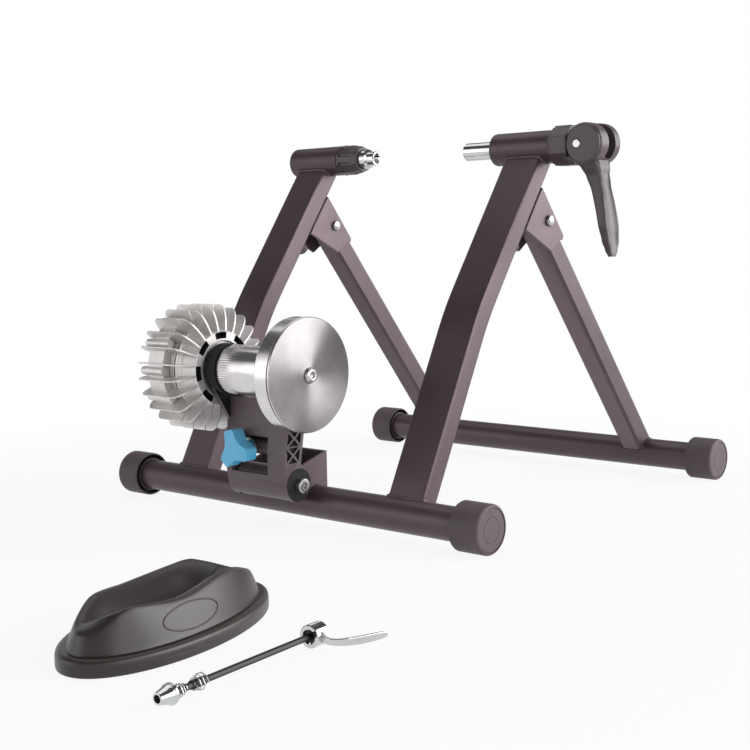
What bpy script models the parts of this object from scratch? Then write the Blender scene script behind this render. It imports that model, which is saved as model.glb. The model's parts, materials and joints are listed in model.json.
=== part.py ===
# A folding fluid bike trainer with its front wheel block and its spare axle skewer.
#
# Lengths are in metres and angles in degrees. X runs along the two base tubes, Y from
# the near base tube to the far one, and Z up from the floor. The near tube's axis lies
# at y = 0 and the middle of the trainer at x = 0, until the last step moves the whole
# set so that the middle of its footprint is the origin.

import math

import bmesh
import bpy
from mathutils import Matrix, Vector

# Clearances
GAP = 0.0003  # between faces that touch on the real trainer
FREE = 0.0005  # between a pin and the bore it turns in

# Base tubes and their feet
TUBE_R = 0.01625
TUBE_WALL = 0.002
BASE_DEPTH = 0.437  # from the near tube's axis to the far one's
NEAR_SPAN = 0.500  # over the feet
FAR_SPAN = 0.505
FOOT_FLATS = 0.047
FOOT_LENGTH = 0.032
FOOT_END_WALL = 0.006
FOOT_CHAMFER = 0.0025
FOOT_DISC_R = 0.0165
FOOT_RING_R = 0.0140
FOOT_RECESS = 0.0015

# Main legs, bent from rectangular tube
LEG_X = 0.1492
LEG_WIDTH = 0.043
LEG_DEPTH = 0.022
LEG_CORNER = 0.003
LEG_WALL = 0.002
LEG_HIGH_LEAN = 35.65  # from upright, above the bend
LEG_BEND_DROP = 0.1991  # from the axle down the leg to the bend
LEG_BEND_R = 0.30
LEG_FOOT_SET = 0.0041  # the leg's centre line runs this far behind the base tube's axis
LEG_TOP_SET = 0.0051  # and this far behind the axle
LEG_TOP_DROP = 0.0155  # from the axle down to the cut end of the leg
LEG_PLUG_CAP = 0.0065
LEG_PLUG_STEM = 0.012

# Axle sleeves at the tops of the legs
AXLE_Y = 0.2117
AXLE_Z = 0.3715
SLEEVE_R = 0.0168
SLEEVE_INNER_X = 0.1086
SLEEVE_OUTER_X = 0.1822
SLEEVE_CHAMFER = 0.001

# Folding hinges
HINGE_STANDOFF = 0.0295  # from the leg's back face to the hinge bolt
HINGE_DROP = 0.0591  # from the axle down the leg to the hinge bolt
PLATE = 0.003
BRACKET_TOP = 0.0208  # where the bracket's corners lie along the leg, from the bolt
BRACKET_BOTTOM = -0.0316
BRACKET_NOSE = 0.0627
BRACKET_NOSE_RISE = 0.0034
BRACKET_HEEL = 0.0516
BRACKET_HEEL_DROP = -0.0231
HINGE_BOLT_R = 0.004
HINGE_HEAD_R = 0.0060
HINGE_HEAD_HEIGHT = 0.0042
HINGE_NUT_FLATS = 0.013
HINGE_NUT_HEIGHT = 0.008
BUSH_R = 0.009
STRUT_SIDE = 0.026
STRUT_CORNER = 0.003
STRUT_WALL = 0.002
STRUT_SET = 0.0029  # the strut's centre line runs this far outside the bolt
STRUT_TRIM_ANGLE = 14.0
BUFFER_DROP = 0.0415  # from the bolt down the leg to the fold buffer
BUFFER_R = 0.0085
BUFFER_HEIGHT = 0.020
BUFFER_STEM_R = 0.003

# Bracket that carries the resistance unit
PIVOT_Y = -0.030
PIVOT_Z = 0.0454
CHEEK_X = 0.0355  # outer face of each cheek
CHEEK_NOSE_R = 0.0135
WEB_Y = 0.0165  # back face of the bracket's web
BRACKET_HEIGHT = 0.0725
STUD_TAB_HALF = 0.015
STUD_TAB_RISE = 0.0125  # from the stud's axis to the top of its tab

# Arm of the resistance unit
ARM_X = 0.041  # outer face of each side wall
ARM_WALL = 0.0030
ARM_BARREL_R = 0.0165
ARM_RING_R = 0.0170
ARM_TOP_Z = 0.1295
PIVOT_BOLT_R = 0.0045
PIVOT_HEAD_R = 0.00725
PIVOT_HEAD_HEIGHT = 0.008
WASHER_THICK = 0.0025
WASHER_R = 0.0100
PIVOT_NUT_FLATS = 0.0145
PIVOT_NUT_HEIGHT = 0.008
WINDOW_X0 = -0.034
WINDOW_X1 = 0.018
WINDOW_Z0 = 0.0550
WINDOW_Z1 = 0.0925
RIB = 0.0018
RIB_DEPTH = 0.0028

# Shaft line of the resistance unit
UNIT_Y = -0.048
UNIT_Z = 0.1567
SHAFT_R = 0.006
FLANGE_R = 0.0255
FLANGE_LEFT_X = -0.0415
FLANGE_RIGHT_X = -0.0280
BEARING_R = 0.012
BEARING_WIDTH = 0.006
ROLLER_R = 0.0248
ROLLER_LEFT_X = -0.0265
ROLLER_RIGHT_X = 0.030
ROLLER_HUB_R = 0.011
FLYWHEEL_R = 0.0547
FLYWHEEL_LEFT_X = 0.0575
FLYWHEEL_RIGHT_X = 0.0770
FLYWHEEL_GROOVE = 0.0022
SHAFT_END_X = 0.0670
SCREW_R = 0.004
SCREW_HEAD_R = 0.0078
SCREW_HEAD_HEIGHT = 0.0038

# Finned fluid chamber
PARTING_X = -0.0625
CASE_R = 0.0445
CASE_DRUM_R = 0.0545  # the outer half widens to this behind its neck
CASE_DRUM_X = -0.0705
LIP_R = 0.0465
LIP_WIDTH = 0.0014
CHAMBER_R = 0.040
CHAMBER_LEFT_X = -0.0885
CHAMBER_RIGHT_X = -0.0590
CASE_LEFT_X = -0.0985
FIN_R = 0.0635
FIN_COUNT = 24  # the casing has a facet between each pair
FIN_THICK = 0.0020
FIN_LEFT_X = -0.1015
GASKET = 0.0008
BOSS_COUNT = 6
BOSS_R = 0.0042
BOSS_CIRCLE_R = 0.0535
SEAL_R = 0.011
SEAL_WIDTH = 0.007
IMPELLER_R = 0.036
VANE_COUNT = 8
VANE_THICK = 0.0022

# Tension screw of the resistance unit
STUD_X = -0.013
STUD_Z = 0.0798
STUD_R = 0.003
STUD_HEAD_FLATS = 0.010
STUD_HEAD_HEIGHT = 0.004
BAR_Y = -0.0345
BAR_R = 0.0075
SWING_IN = 4.0  # how far the arm swings towards the wheel, and away from it
SWING_OUT = 10.0
THREAD_PITCH = 0.001
KNOB_CAP = 0.0025  # between the blind bore and the knob's front
KNOB_WASHER_R = 0.0095
KNOB_WASHER_THICK = 0.0016
KNOB_NECK_R = 0.0065
KNOB_NECK = 0.0083
KNOB_R = 0.0207
KNOB_WAIST_R = 0.0108
KNOB_ARM_HALF = 18.0  # half the angle of an arm's flat end
KNOB_THICK = 0.014
KNOB_TURN = 105.0
TENSION_SPRING_R = 0.0052
TENSION_WIRE_R = 0.0008
TENSION_TURNS = 5

# Quick clamp on the right
SPINDLE_R = 0.0095
SPINDLE_TIP_X = 0.0684
CUP_R = 0.0062
CUP_DEPTH = 0.008
SHOULDER_R = 0.0135
SHOULDER_THICK = 0.0025
HOUSING_FLATS = 0.040
HOUSING_NECK_FLATS = 0.0365
HOUSING_NECK = 0.0018  # how far the neck stands from the sleeve
HOUSING_LENGTH = 0.0227
HOUSING_WALL = 0.003  # at the lever's end, with a hole for the tongue
DRUM_R = 0.0205
CAM_THROW = 0.007
PIN_R = 0.0045
TONGUE = 0.012
SLOT_SIDE = 0.0003  # between the tongue and each ear of the lever
NEAR_EAR = 0.016
FAR_EAR = 0.010
EYE_R = 0.0085
HANDLE_LENGTH = 0.1115
HANDLE_WIDTH = 0.026
HANDLE_THICK = 0.0125
HANDLE_NECK_WIDTH = 0.0185
HANDLE_TIP_WIDTH = 0.0135
CLAMP_SPRING_R = 0.0118
CLAMP_WIRE_R = 0.0008
CLAMP_TURNS = 4

# Adjustable cup on the left
COLLAR_R = 0.0165
COLLAR_TIP_R = 0.0140
COLLAR_END_X = 0.079
COLLAR_FACETS = 10
CUP_BOLT_R = 0.011
CUP_BOLT_END_X = 0.070
CUP_TIP_R = 0.0082
CUP_TIP_X = 0.059
CUP_BOLT_TAIL_X = 0.168

# Front wheel block, an oval tray with a groove for the tyre
BLOCK_X = 0.191
BLOCK_Y = -0.322
BLOCK_TURN = 14.0
BLOCK_LENGTH = 0.219
BLOCK_WIDTH = 0.106
BLOCK_RIM = 0.0125
BLOCK_LEDGE = 0.008
BLOCK_DRAFT = 0.008
BLOCK_CREST = 0.044
BLOCK_GROOVE_FLOOR = 0.017
BLOCK_CREST_WIDTH = 0.004
BLOCK_WALL = 0.003
BLOCK_SIDES = 32

# Spare axle skewer, lying on the floor
SKEWER_X = 0.3112
SKEWER_Y = -0.4330
SKEWER_TURN = 4.5
SKEWER_LENGTH = 0.160
SKEWER_ROD_R = 0.0024
SKEWER_NUT_R = 0.0085
SKEWER_NUT_TIP_R = 0.0048
SKEWER_NUT_LENGTH = 0.0145
SKEWER_HOUSING_R = 0.0085
SKEWER_HOUSING_LENGTH = 0.014
SKEWER_EYE_R = 0.0060
SKEWER_EYE_HEIGHT = 0.0070
SKEWER_BLADE = 0.0026
SKEWER_SLEEVE_START = 0.014  # from the nut's wide face
SKEWER_SLEEVE_LENGTH = 0.013
SKEWER_SLEEVE_R = 0.0032
SKEWER_SPRING_R = 0.0060
SKEWER_WIRE_R = 0.0004
SKEWER_SPRING_LENGTH = 0.009
SKEWER_SPRING_TURNS = 3

# Facets on round pieces
FINE = 28
ROUND = 18
COARSE = 12


# Lengths that follow from those above
TUBE_Z = FOOT_FLATS / 2
HIGH = Vector((0, math.sin(math.radians(LEG_HIGH_LEAN)), math.cos(math.radians(LEG_HIGH_LEAN))))
BACK = Vector((0, HIGH.z, -HIGH.y))  # away from the upper leg's back face
AXLE = Vector((0, AXLE_Y, AXLE_Z))
BEND = AXLE + BACK * LEG_TOP_SET - HIGH * LEG_BEND_DROP
BEND_REACH = BEND - Vector((0, 0, TUBE_Z))
LEG_LOW_LEAN = math.degrees(
    math.atan2(BEND_REACH.y, BEND_REACH.z) - math.asin(LEG_FOOT_SET / BEND_REACH.length)
)
LOW = Vector((0, math.sin(math.radians(LEG_LOW_LEAN)), math.cos(math.radians(LEG_LOW_LEAN))))
HINGE = AXLE - HIGH * HINGE_DROP + BACK * (LEG_TOP_SET + LEG_DEPTH / 2 + HINGE_STANDOFF)
FAR_AXIS = Vector((0, BASE_DEPTH, TUBE_Z))
PIVOT = Vector((0, PIVOT_Y, PIVOT_Z))
UNIT = Vector((0, UNIT_Y, UNIT_Z))
BAR_REACH = STUD_Z - PIVOT_Z
SLOT_UP = (
    STUD_R
    + FREE
    + BAR_R * math.tan(math.radians(SWING_OUT))
    + (PIVOT_Y - BAR_Y) * math.sin(math.radians(SWING_OUT))
    + BAR_REACH * (1 - math.cos(math.radians(SWING_OUT)))
)
SLOT_DOWN = (
    STUD_R
    + FREE
    + BAR_R * math.tan(math.radians(SWING_IN))
    + (PIVOT_Y - BAR_Y) * math.sin(math.radians(SWING_IN))
)
HOUSING_END_X = SLEEVE_OUTER_X + GAP + HOUSING_LENGTH
DRUM_X = HOUSING_END_X + GAP + DRUM_R
PIN_X = DRUM_X - CAM_THROW
SHOULDER_X = SLEEVE_OUTER_X + GAP
TONGUE_X = HOUSING_END_X - CAM_THROW - GAP
TONGUE_HOLE_R = math.hypot(EYE_R, TONGUE / 2) + GAP
SKEWER_Z = max(SKEWER_NUT_R, SKEWER_HOUSING_R)


def collection(name):
    made = bpy.data.collections.new(name)
    bpy.context.scene.collection.children.link(made)
    return made


def material(name, colour, roughness, metallic=0.0):
    made = bpy.data.materials.new(name)
    made.use_nodes = True
    shader = made.node_tree.nodes["Principled BSDF"]
    shader.inputs["Base Color"].default_value = (*colour, 1)
    shader.inputs["Roughness"].default_value = roughness
    shader.inputs["Metallic"].default_value = metallic
    made.diffuse_color = (*colour, 1)
    return made


# Shapes. Each function returns a mesh in the trainer's own frame.


def baked(data, add_modifiers=None):
    # The mesh that a curve, or a mesh with modifiers, evaluates to
    guide = bpy.data.objects.new("guide", data)
    cutters.objects.link(guide)
    if add_modifiers:
        add_modifiers(guide)
    depsgraph = bpy.context.evaluated_depsgraph_get()
    mesh = bpy.data.meshes.new_from_object(guide.evaluated_get(depsgraph))
    bpy.data.objects.remove(guide)
    return mesh


def closed(mesh, weld=1e-6):
    # Caps welded to their sides, and every face pointing out
    work = bmesh.new()
    work.from_mesh(mesh)
    bmesh.ops.remove_doubles(work, verts=work.verts, dist=weld)
    bmesh.ops.dissolve_degenerate(work, edges=work.edges, dist=weld)
    bmesh.ops.recalc_face_normals(work, faces=work.faces)
    work.to_mesh(mesh)
    work.free()
    return mesh


FACING = {
    "X": Matrix(((0, 0, 1, 0), (1, 0, 0, 0), (0, 1, 0, 0), (0, 0, 0, 1))),
    "Y": Matrix(((1, 0, 0, 0), (0, 0, -1, 0), (0, 1, 0, 0), (0, 0, 0, 1))),
    "Z": Matrix.Identity(4),
}


def extruded(outline, depth, along, middle=0.0):
    # A flat outline as thick as depth, halved by the plane at middle. Its points are
    # (y, z) along X, (x, z) along Y and (x, y) along Z.
    curve = bpy.data.curves.new("outline", "CURVE")
    curve.dimensions = "2D"
    curve.fill_mode = "BOTH"
    curve.extrude = depth / 2
    spline = curve.splines.new("POLY")
    spline.points.add(len(outline) - 1)
    spline.use_cyclic_u = True
    for point, (u, v) in zip(spline.points, outline):
        point.co = (u, v, 0, 1)
    mesh = closed(baked(curve))
    mesh.transform(FACING[along])
    axis = "XYZ".index(along)
    mesh.transform(Matrix.Translation([middle if i == axis else 0 for i in range(3)]))
    return mesh


def arc(u, v, radius, start, end, steps):
    # Points round a centre, from one angle to another
    points = []
    for i in range(steps + 1):
        angle = math.radians(start + (end - start) * i / steps)
        points.append((u + radius * math.cos(angle), v + radius * math.sin(angle)))
    return points


def turned(profile, steps=ROUND, hollow=False, twist=0.0):
    # (radius, height) points turned about Z, down the outer side and, where it is
    # hollow, up the bore
    mesh = bpy.data.meshes.new("profile")
    edges = [(i, i + 1) for i in range(len(profile) - 1)]
    if hollow:
        edges.append((len(profile) - 1, 0))
    mesh.from_pydata([(radius, 0, height) for radius, height in profile], edges, [])

    def turn(guide):
        screw = guide.modifiers.new("Turn", "SCREW")
        screw.steps = steps
        screw.render_steps = steps
        screw.use_merge_vertices = True
        screw.merge_threshold = 0.00001

    mesh = closed(baked(mesh, turn))
    mesh.transform(Matrix.Rotation(math.radians(twist), 4, "Z"))
    return mesh


def turned_on(axis, place, profile, steps=ROUND, hollow=False, twist=0.0):
    # A turned shape whose heights run along X or Y from the given place
    mesh = turned(profile, steps, hollow, twist)
    if axis == "X":
        mesh.transform(Matrix.Rotation(math.pi / 2, 4, "Y"))
    if axis == "Y":
        mesh.transform(Matrix.Rotation(-math.pi / 2, 4, "X"))
    mesh.transform(Matrix.Translation(place))
    return mesh


def octagonal(profile):
    # A profile given by its flats, as radii to the corners
    return [(radius / math.cos(math.pi / 8), height) for radius, height in profile]


def cylinder(axis, place, radius, start, end, sides=ROUND):
    profile = [(0, end), (radius, end), (radius, start), (0, start)]
    return turned_on(axis, place, profile, sides)


def ring(axis, place, outer, inner, start, end, sides=ROUND, chamfer=0.0):
    profile = [
        (outer - chamfer, end),
        (outer, end - chamfer),
        (outer, start + chamfer),
        (outer - chamfer, start),
        (inner, start),
        (inner, end),
    ]
    if not chamfer:
        profile = [(outer, end), (outer, start), (inner, start), (inner, end)]
    return turned_on(axis, place, profile, sides, hollow=True)


def box(low, high, bevel=0.0):
    work = bmesh.new()
    bmesh.ops.create_cube(work, size=1)
    size = Vector(high) - Vector(low)
    middle = (Vector(high) + Vector(low)) / 2
    bmesh.ops.scale(work, vec=size, verts=work.verts)
    bmesh.ops.translate(work, vec=middle, verts=work.verts)
    if bevel:
        bmesh.ops.bevel(
            work, geom=work.edges[:], offset=bevel, segments=2, profile=0.5, affect="EDGES"
        )
    mesh = bpy.data.meshes.new("box")
    work.to_mesh(mesh)
    work.free()
    return mesh


def lofted(rings, loop=False):
    # Rings of equally many points, joined in turn. The ends are capped, or meet.
    work = bmesh.new()
    loops = [[work.verts.new(point) for point in points] for points in rings]
    pairs = list(zip(loops, loops[1:]))
    if loop:
        pairs.append((loops[-1], loops[0]))
    for first, second in pairs:
        for i in range(len(first)):
            j = (i + 1) % len(first)
            work.faces.new((first[i], first[j], second[j], second[i]))
    if not loop:
        work.faces.new(loops[0])
        work.faces.new(loops[-1])
    bmesh.ops.recalc_face_normals(work, faces=work.faces)
    mesh = bpy.data.meshes.new("loft")
    work.to_mesh(mesh)
    work.free()
    return mesh


def rounded_rectangle(width, depth, corner, points=3):
    # (u, v) points round a rectangle centred on the origin
    outline = []
    for quarter in range(4):
        u = (width / 2 - corner) * (1 if quarter in (0, 3) else -1)
        v = (depth / 2 - corner) * (1 if quarter < 2 else -1)
        for i in range(points):
            angle = math.pi / 2 * (quarter + i / (points - 1))
            outline.append((u + corner * math.cos(angle), v + corner * math.sin(angle)))
    return outline


def square_tube(path, x, width, depth, corner, wall, points=3):
    # A hollow rectangular tube along a path in the YZ plane
    def section(index, inset):
        before = path[max(index - 1, 0)]
        after = path[min(index + 1, len(path) - 1)]
        along = (after - before).normalized()
        across = Vector((0, along.z, -along.y))
        outline = rounded_rectangle(
            width - 2 * inset, depth - 2 * inset, max(corner - inset, corner / 3), points
        )
        return [path[index] + Vector((x + u, 0, 0)) + across * v for u, v in outline]

    outside = [section(i, 0) for i in range(len(path))]
    inside = [section(i, wall) for i in reversed(range(len(path)))]
    return lofted(outside + inside, loop=True)


def boolean(operation, mesh, tools):
    # All the tools at once, so that rounding doesn't build up from step to step
    operands = collection("operands")
    for tool in tools:
        operands.objects.link(bpy.data.objects.new("tool", tool))

    def combine(guide):
        modifier = guide.modifiers.new("Boolean", "BOOLEAN")
        modifier.operation = operation
        modifier.operand_type = "COLLECTION"
        modifier.collection = operands
        modifier.solver = "EXACT"

    result = baked(mesh, combine)
    for tool in list(operands.objects):
        bpy.data.objects.remove(tool)
    bpy.data.collections.remove(operands)
    return closed(result, 2e-6)


def cut(mesh, *tools):
    return boolean("DIFFERENCE", mesh, tools)


def joined(mesh, *others):
    return boolean("UNION", mesh, others)


def together(meshes):
    # Separate shapes as one mesh, to cut or join in one step
    work = bmesh.new()
    for mesh in meshes:
        work.from_mesh(mesh)
    mesh = bpy.data.meshes.new("group")
    work.to_mesh(mesh)
    work.free()
    return mesh


def bevelled(mesh, width, segments=1, angle=30.0):
    def bevel(guide):
        modifier = guide.modifiers.new("Bevel", "BEVEL")
        modifier.width = width
        modifier.segments = segments
        modifier.limit_method = "ANGLE"
        modifier.angle_limit = math.radians(angle)

    return baked(mesh, bevel)


def wound(name, axis, place, radius, end_radius, wire, start, end, turns, points=9):
    # A coil of wire whose radius may change along it, as one unbroken tube
    length = end - start
    count = round(turns * points) + 1
    route = []
    for i in range(count):
        share = i / (count - 1)
        angle = 2 * math.pi * turns * share
        reach = radius + (end_radius - radius) * share
        along = start + wire + (length - 2 * wire) * share
        route.append(Vector((reach * math.cos(angle), reach * math.sin(angle), along)))
    curve = bpy.data.curves.new(name, "CURVE")
    curve.dimensions = "3D"
    curve.bevel_depth = wire
    curve.bevel_resolution = 1
    curve.use_fill_caps = True
    spline = curve.splines.new("POLY")
    spline.points.add(count - 1)
    for point, position in zip(spline.points, route):
        point.co = (*position, 1)
    gaps = [
        (a - b).length - 2 * wire
        for i, a in enumerate(route)
        for b in route[i + points - 2 :]
    ]
    print(f"{name}: least gap between turns {min(gaps) * 1000:.2f} mm")
    mesh = closed(baked(curve))
    if axis == "X":
        mesh.transform(Matrix.Rotation(math.pi / 2, 4, "Y"))
    if axis == "Y":
        mesh.transform(Matrix.Rotation(-math.pi / 2, 4, "X"))
    mesh.transform(Matrix.Translation(place))
    return mesh


def hexagon(axis, place, flats, start, end, chamfer=0.0008):
    radius = flats / math.sqrt(3)
    profile = [
        (0, end),
        (radius - chamfer, end),
        (radius, end - chamfer),
        (radius, start + chamfer),
        (radius - chamfer, start),
        (0, start),
    ]
    return turned_on(axis, place, profile, 6)


# The bodies that move, and the pieces on them


def body(name, place, parent=None):
    # An empty on the joint's axis, which carries that body's pieces
    made = bpy.data.objects.new(name, None)
    made.empty_display_size = 0.03
    pieces.objects.link(made)
    made.parent = parent
    made.location = Vector(place) - (places[parent.name] if parent else Vector())
    places[name] = Vector(place)
    return made


def part(name, mesh, look, carrier, origin=None):
    # A named piece, with its own origin, on the body that carries it
    start = places[carrier.name] if origin is None else Vector(origin)
    mesh.transform(Matrix.Translation(-start))
    mesh.name = name
    mesh.materials.clear()
    mesh.materials.append(look)
    mesh.shade_smooth()
    mesh.set_sharp_from_angle(angle=math.radians(32))
    made = bpy.data.objects.new(name, mesh)
    pieces.objects.link(made)
    made.parent = carrier
    made.location = start - places[carrier.name]
    return made


SIDES = (("left", -1), ("right", 1))


# Base


def base_tube(name, place, span, carrier):
    reach = span / 2 - FOOT_END_WALL - GAP
    mesh = ring("X", place, TUBE_R, TUBE_R - TUBE_WALL, -reach, reach, FINE)
    return part(name, mesh, powder_coat, carrier, place)


def foot(name, place, span, side, carrier):
    half = FOOT_FLATS / 2
    inner = span / 2 - FOOT_LENGTH
    outer = span / 2
    prism = [
        (0, outer),
        (half - FOOT_CHAMFER, outer),
        (half, outer - FOOT_CHAMFER),
        (half, inner + FOOT_CHAMFER / 2),
        (half - FOOT_CHAMFER / 2, inner),
        (0, inner),
    ]
    mesh = turned(octagonal(prism), 8, twist=22.5)
    mesh = bevelled(mesh, 0.003, 1, 40)
    socket = cylinder("Z", (0, 0, 0), TUBE_R + GAP, inner - 0.01, outer - FOOT_END_WALL, 24)
    low = outer - FOOT_RECESS
    groove = [
        (FOOT_DISC_R, outer + 0.001),
        (FOOT_DISC_R, low),
        (FOOT_RING_R, low),
        (FOOT_RING_R, outer + 0.001),
    ]
    mesh = cut(mesh, socket, turned(groove, 16, hollow=True))
    mesh.transform(Matrix.Rotation(math.pi / 2 * side, 4, "Y"))
    mesh.transform(Matrix.Translation(place))
    origin = Vector(place) + Vector((side * outer, 0, 0))
    return part(name, mesh, foot_rubber, carrier, origin)


# Legs and sleeves


def leg_path(extra=0.0):
    # The leg's centre line, from the near tube's axis to its cut end below the axle
    tube = Vector((0, 0, TUBE_Z))
    low_point = tube + Vector((0, LOW.z, -LOW.y)) * LEG_FOOT_SET
    high_point = AXLE + BACK * LEG_TOP_SET
    half_turn = math.radians(LEG_HIGH_LEAN - LEG_LOW_LEAN) / 2
    tangent = LEG_BEND_R * math.tan(half_turn)
    start = BEND - LOW * tangent
    centre = start + Vector((0, LOW.z, -LOW.y)) * LEG_BEND_R
    path = [low_point]
    steps = 3
    for i in range(steps + 1):
        lean = math.radians(LEG_LOW_LEAN) + 2 * half_turn * i / steps
        outward = Vector((0, -math.cos(lean), math.sin(lean)))
        path.append(centre + outward * LEG_BEND_R)
    path.append(high_point - HIGH * (LEG_TOP_DROP - extra))
    return path


def leg(name, side, carrier):
    x = side * LEG_X
    mesh = square_tube(leg_path(), x, LEG_WIDTH, LEG_DEPTH, LEG_CORNER, LEG_WALL)
    tube = cylinder("X", (x, 0, TUBE_Z), TUBE_R + GAP, -LEG_WIDTH, LEG_WIDTH, FINE)
    sleeve = cylinder("X", (x, AXLE_Y, AXLE_Z), SLEEVE_R + GAP, -LEG_WIDTH, LEG_WIDTH, FINE)
    seat = buffer_seat(x)
    hole = oriented_cylinder(seat, BACK, BUFFER_STEM_R + GAP, -LEG_WALL * 2.5, LEG_WALL)
    mesh = cut(mesh, tube, sleeve, hole)
    return part(name, mesh, powder_coat, carrier, (x, 0, TUBE_Z))


def oriented_cylinder(place, direction, radius, start, end, sides=COARSE):
    mesh = turned([(0, end), (radius, end), (radius, start), (0, start)], sides)
    mesh.transform(Vector(direction).to_track_quat("Z", "Y").to_matrix().to_4x4())
    mesh.transform(Matrix.Translation(place))
    return mesh


def leg_plug(name, side, carrier):
    # Closes the leg's cut end behind the sleeve
    x = side * LEG_X
    end = leg_path()[-1]
    stem = rounded_rectangle(
        LEG_WIDTH - 2 * LEG_WALL - 2 * GAP, LEG_DEPTH - 2 * LEG_WALL - 2 * GAP, LEG_CORNER / 3
    )
    cap = rounded_rectangle(LEG_WIDTH, LEG_DEPTH, LEG_CORNER)

    def at(outline, along):
        centre = end + HIGH * along + Vector((x, 0, 0))
        return [centre + Vector((u, 0, 0)) + BACK * v for u, v in outline]

    mesh = lofted([at(cap, GAP), at(cap, GAP + LEG_PLUG_CAP)])
    mesh = joined(mesh, lofted([at(stem, -LEG_PLUG_STEM), at(stem, GAP * 2)]))
    sleeve = cylinder("X", (x, AXLE_Y, AXLE_Z), SLEEVE_R + GAP, -LEG_WIDTH, LEG_WIDTH, FINE)
    mesh = cut(mesh, sleeve)
    return part(name, mesh, black_plastic, carrier, end + Vector((x, 0, 0)))


def sleeve(name, side, bore, carrier):
    low, high = sorted((side * SLEEVE_INNER_X, side * SLEEVE_OUTER_X))
    mesh = ring(
        "X", (0, AXLE_Y, AXLE_Z), SLEEVE_R, bore, low, high, 24, chamfer=SLEEVE_CHAMFER
    )
    return part(name, mesh, powder_coat, carrier, (side * SLEEVE_INNER_X, AXLE_Y, AXLE_Z))


# Folding hinges and struts


def beside_leg(out, up):
    # A (y, z) point given from the hinge bolt's foot on the leg's back face
    point = HINGE + BACK * (out - HINGE_STANDOFF) + HIGH * up
    return (point.y, point.z)


def hinge_bracket(name, side, carrier):
    # A folded channel whose web lies on the leg and whose cheeks carry the bolt
    x = side * LEG_X
    inner = LEG_WIDTH - 2 * PLATE
    notch = 0.004
    outline = [
        beside_leg(GAP, BRACKET_TOP),
        beside_leg(GAP, BRACKET_BOTTOM),
        beside_leg(BRACKET_HEEL, BRACKET_HEEL_DROP),
        beside_leg(BRACKET_NOSE - notch, BRACKET_NOSE_RISE - 2 * notch),
        beside_leg(BRACKET_NOSE, BRACKET_NOSE_RISE - notch),
        beside_leg(BRACKET_NOSE - notch / 2, BRACKET_NOSE_RISE),
    ]
    mesh = extruded(outline, LEG_WIDTH, "X", x)
    pocket = [
        beside_leg(GAP + PLATE, BRACKET_TOP * 2),
        beside_leg(GAP + PLATE, BRACKET_BOTTOM * 2),
        beside_leg(BRACKET_NOSE * 1.5, BRACKET_BOTTOM * 2),
        beside_leg(BRACKET_NOSE * 1.5, BRACKET_TOP * 2),
    ]
    hole = cylinder("X", HINGE, HINGE_BOLT_R + GAP, x - LEG_WIDTH, x + LEG_WIDTH, COARSE)
    mesh = cut(mesh, extruded(pocket, inner, "X", x), hole)
    return part(name, mesh, powder_coat, carrier, HINGE + Vector((x, 0, 0)))


def strut(name, side, carrier):
    x = side * LEG_X
    down = (FAR_AXIS - HINGE).normalized()
    outside = Vector((0, -down.z, down.y))
    top = HINGE + outside * STRUT_SET - down * HINGE_STANDOFF * 1.5
    bottom = FAR_AXIS + outside * STRUT_SET
    mesh = square_tube([top, bottom], x, STRUT_SIDE, STRUT_SIDE, STRUT_CORNER, STRUT_WALL, 2)
    half = LEG_WIDTH / 2 - PLATE - GAP
    bush = cylinder("X", HINGE, BUSH_R, x - half, x + half, 16)
    bore = cylinder("X", HINGE, HINGE_BOLT_R + FREE, x - LEG_WIDTH, x + LEG_WIDTH, COARSE)
    far_tube = cylinder(
        "X", FAR_AXIS, TUBE_R + GAP, x - LEG_WIDTH, x + LEG_WIDTH, FINE
    )
    # The end butts on the bracket's web when the stand is open, and its lower corner
    # is trimmed so that it clears the web as the stand folds
    stop = HINGE_STANDOFF - PLATE - 2 * GAP
    mesh = cut(mesh, far_tube)
    mesh = joined(mesh, bush)
    mesh = cut(mesh, bore, strut_end(x, stop))
    return part(name, mesh, powder_coat, carrier, HINGE + Vector((x, 0, 0)))


def strut_end(x, distance):
    # Everything beyond the strut's end face, and beyond a second plane turned down from
    # it, which trims the lower corner
    size = 0.06
    angle = math.radians(STRUT_TRIM_ANGLE)
    facing = -BACK * math.cos(angle) - HIGH * math.sin(angle)
    upward = HIGH * math.cos(angle) - BACK * math.sin(angle)
    trim = distance - GAP
    corner = (distance * math.cos(angle) - trim) / math.sin(angle)
    corners = [
        -BACK * distance + HIGH * size,
        -BACK * distance + HIGH * corner,
        facing * trim - upward * size,
        facing * (trim + size) - upward * size,
        -BACK * (distance + size) + HIGH * size,
    ]
    outline = [(HINGE.y + point.y, HINGE.z + point.z) for point in corners]
    return extruded(outline, LEG_WIDTH, "X", x)


def hinge_bolt(name, side, carrier):
    x = side * LEG_X
    seat = LEG_WIDTH / 2 + GAP
    tail = LEG_WIDTH / 2 + GAP + HINGE_NUT_HEIGHT + 0.002
    head = seat + HINGE_HEAD_HEIGHT
    profile = [
        (0, head),
        (HINGE_HEAD_R * 0.55, head - 0.0002),
        (HINGE_HEAD_R * 0.9, head - 0.0012),
        (HINGE_HEAD_R, seat + 0.0012),
        (HINGE_HEAD_R, seat),
        (HINGE_BOLT_R, seat),
        (HINGE_BOLT_R, -tail),
        (0, -tail),
    ]
    place = HINGE + Vector((x, 0, 0))
    return part(name, turned_on("X", place, profile, COARSE), bright_steel, carrier, place)


def hinge_nut(name, side, carrier):
    place = HINGE + Vector((side * LEG_X, 0, 0))
    seat = -LEG_WIDTH / 2 - GAP
    mesh = hexagon("X", place, HINGE_NUT_FLATS, seat - HINGE_NUT_HEIGHT, seat)
    bore = cylinder("X", place, HINGE_BOLT_R + GAP, seat * 2, seat * 0.5, 16)
    return part(name, cut(mesh, bore), bright_steel, carrier, place)


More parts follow.
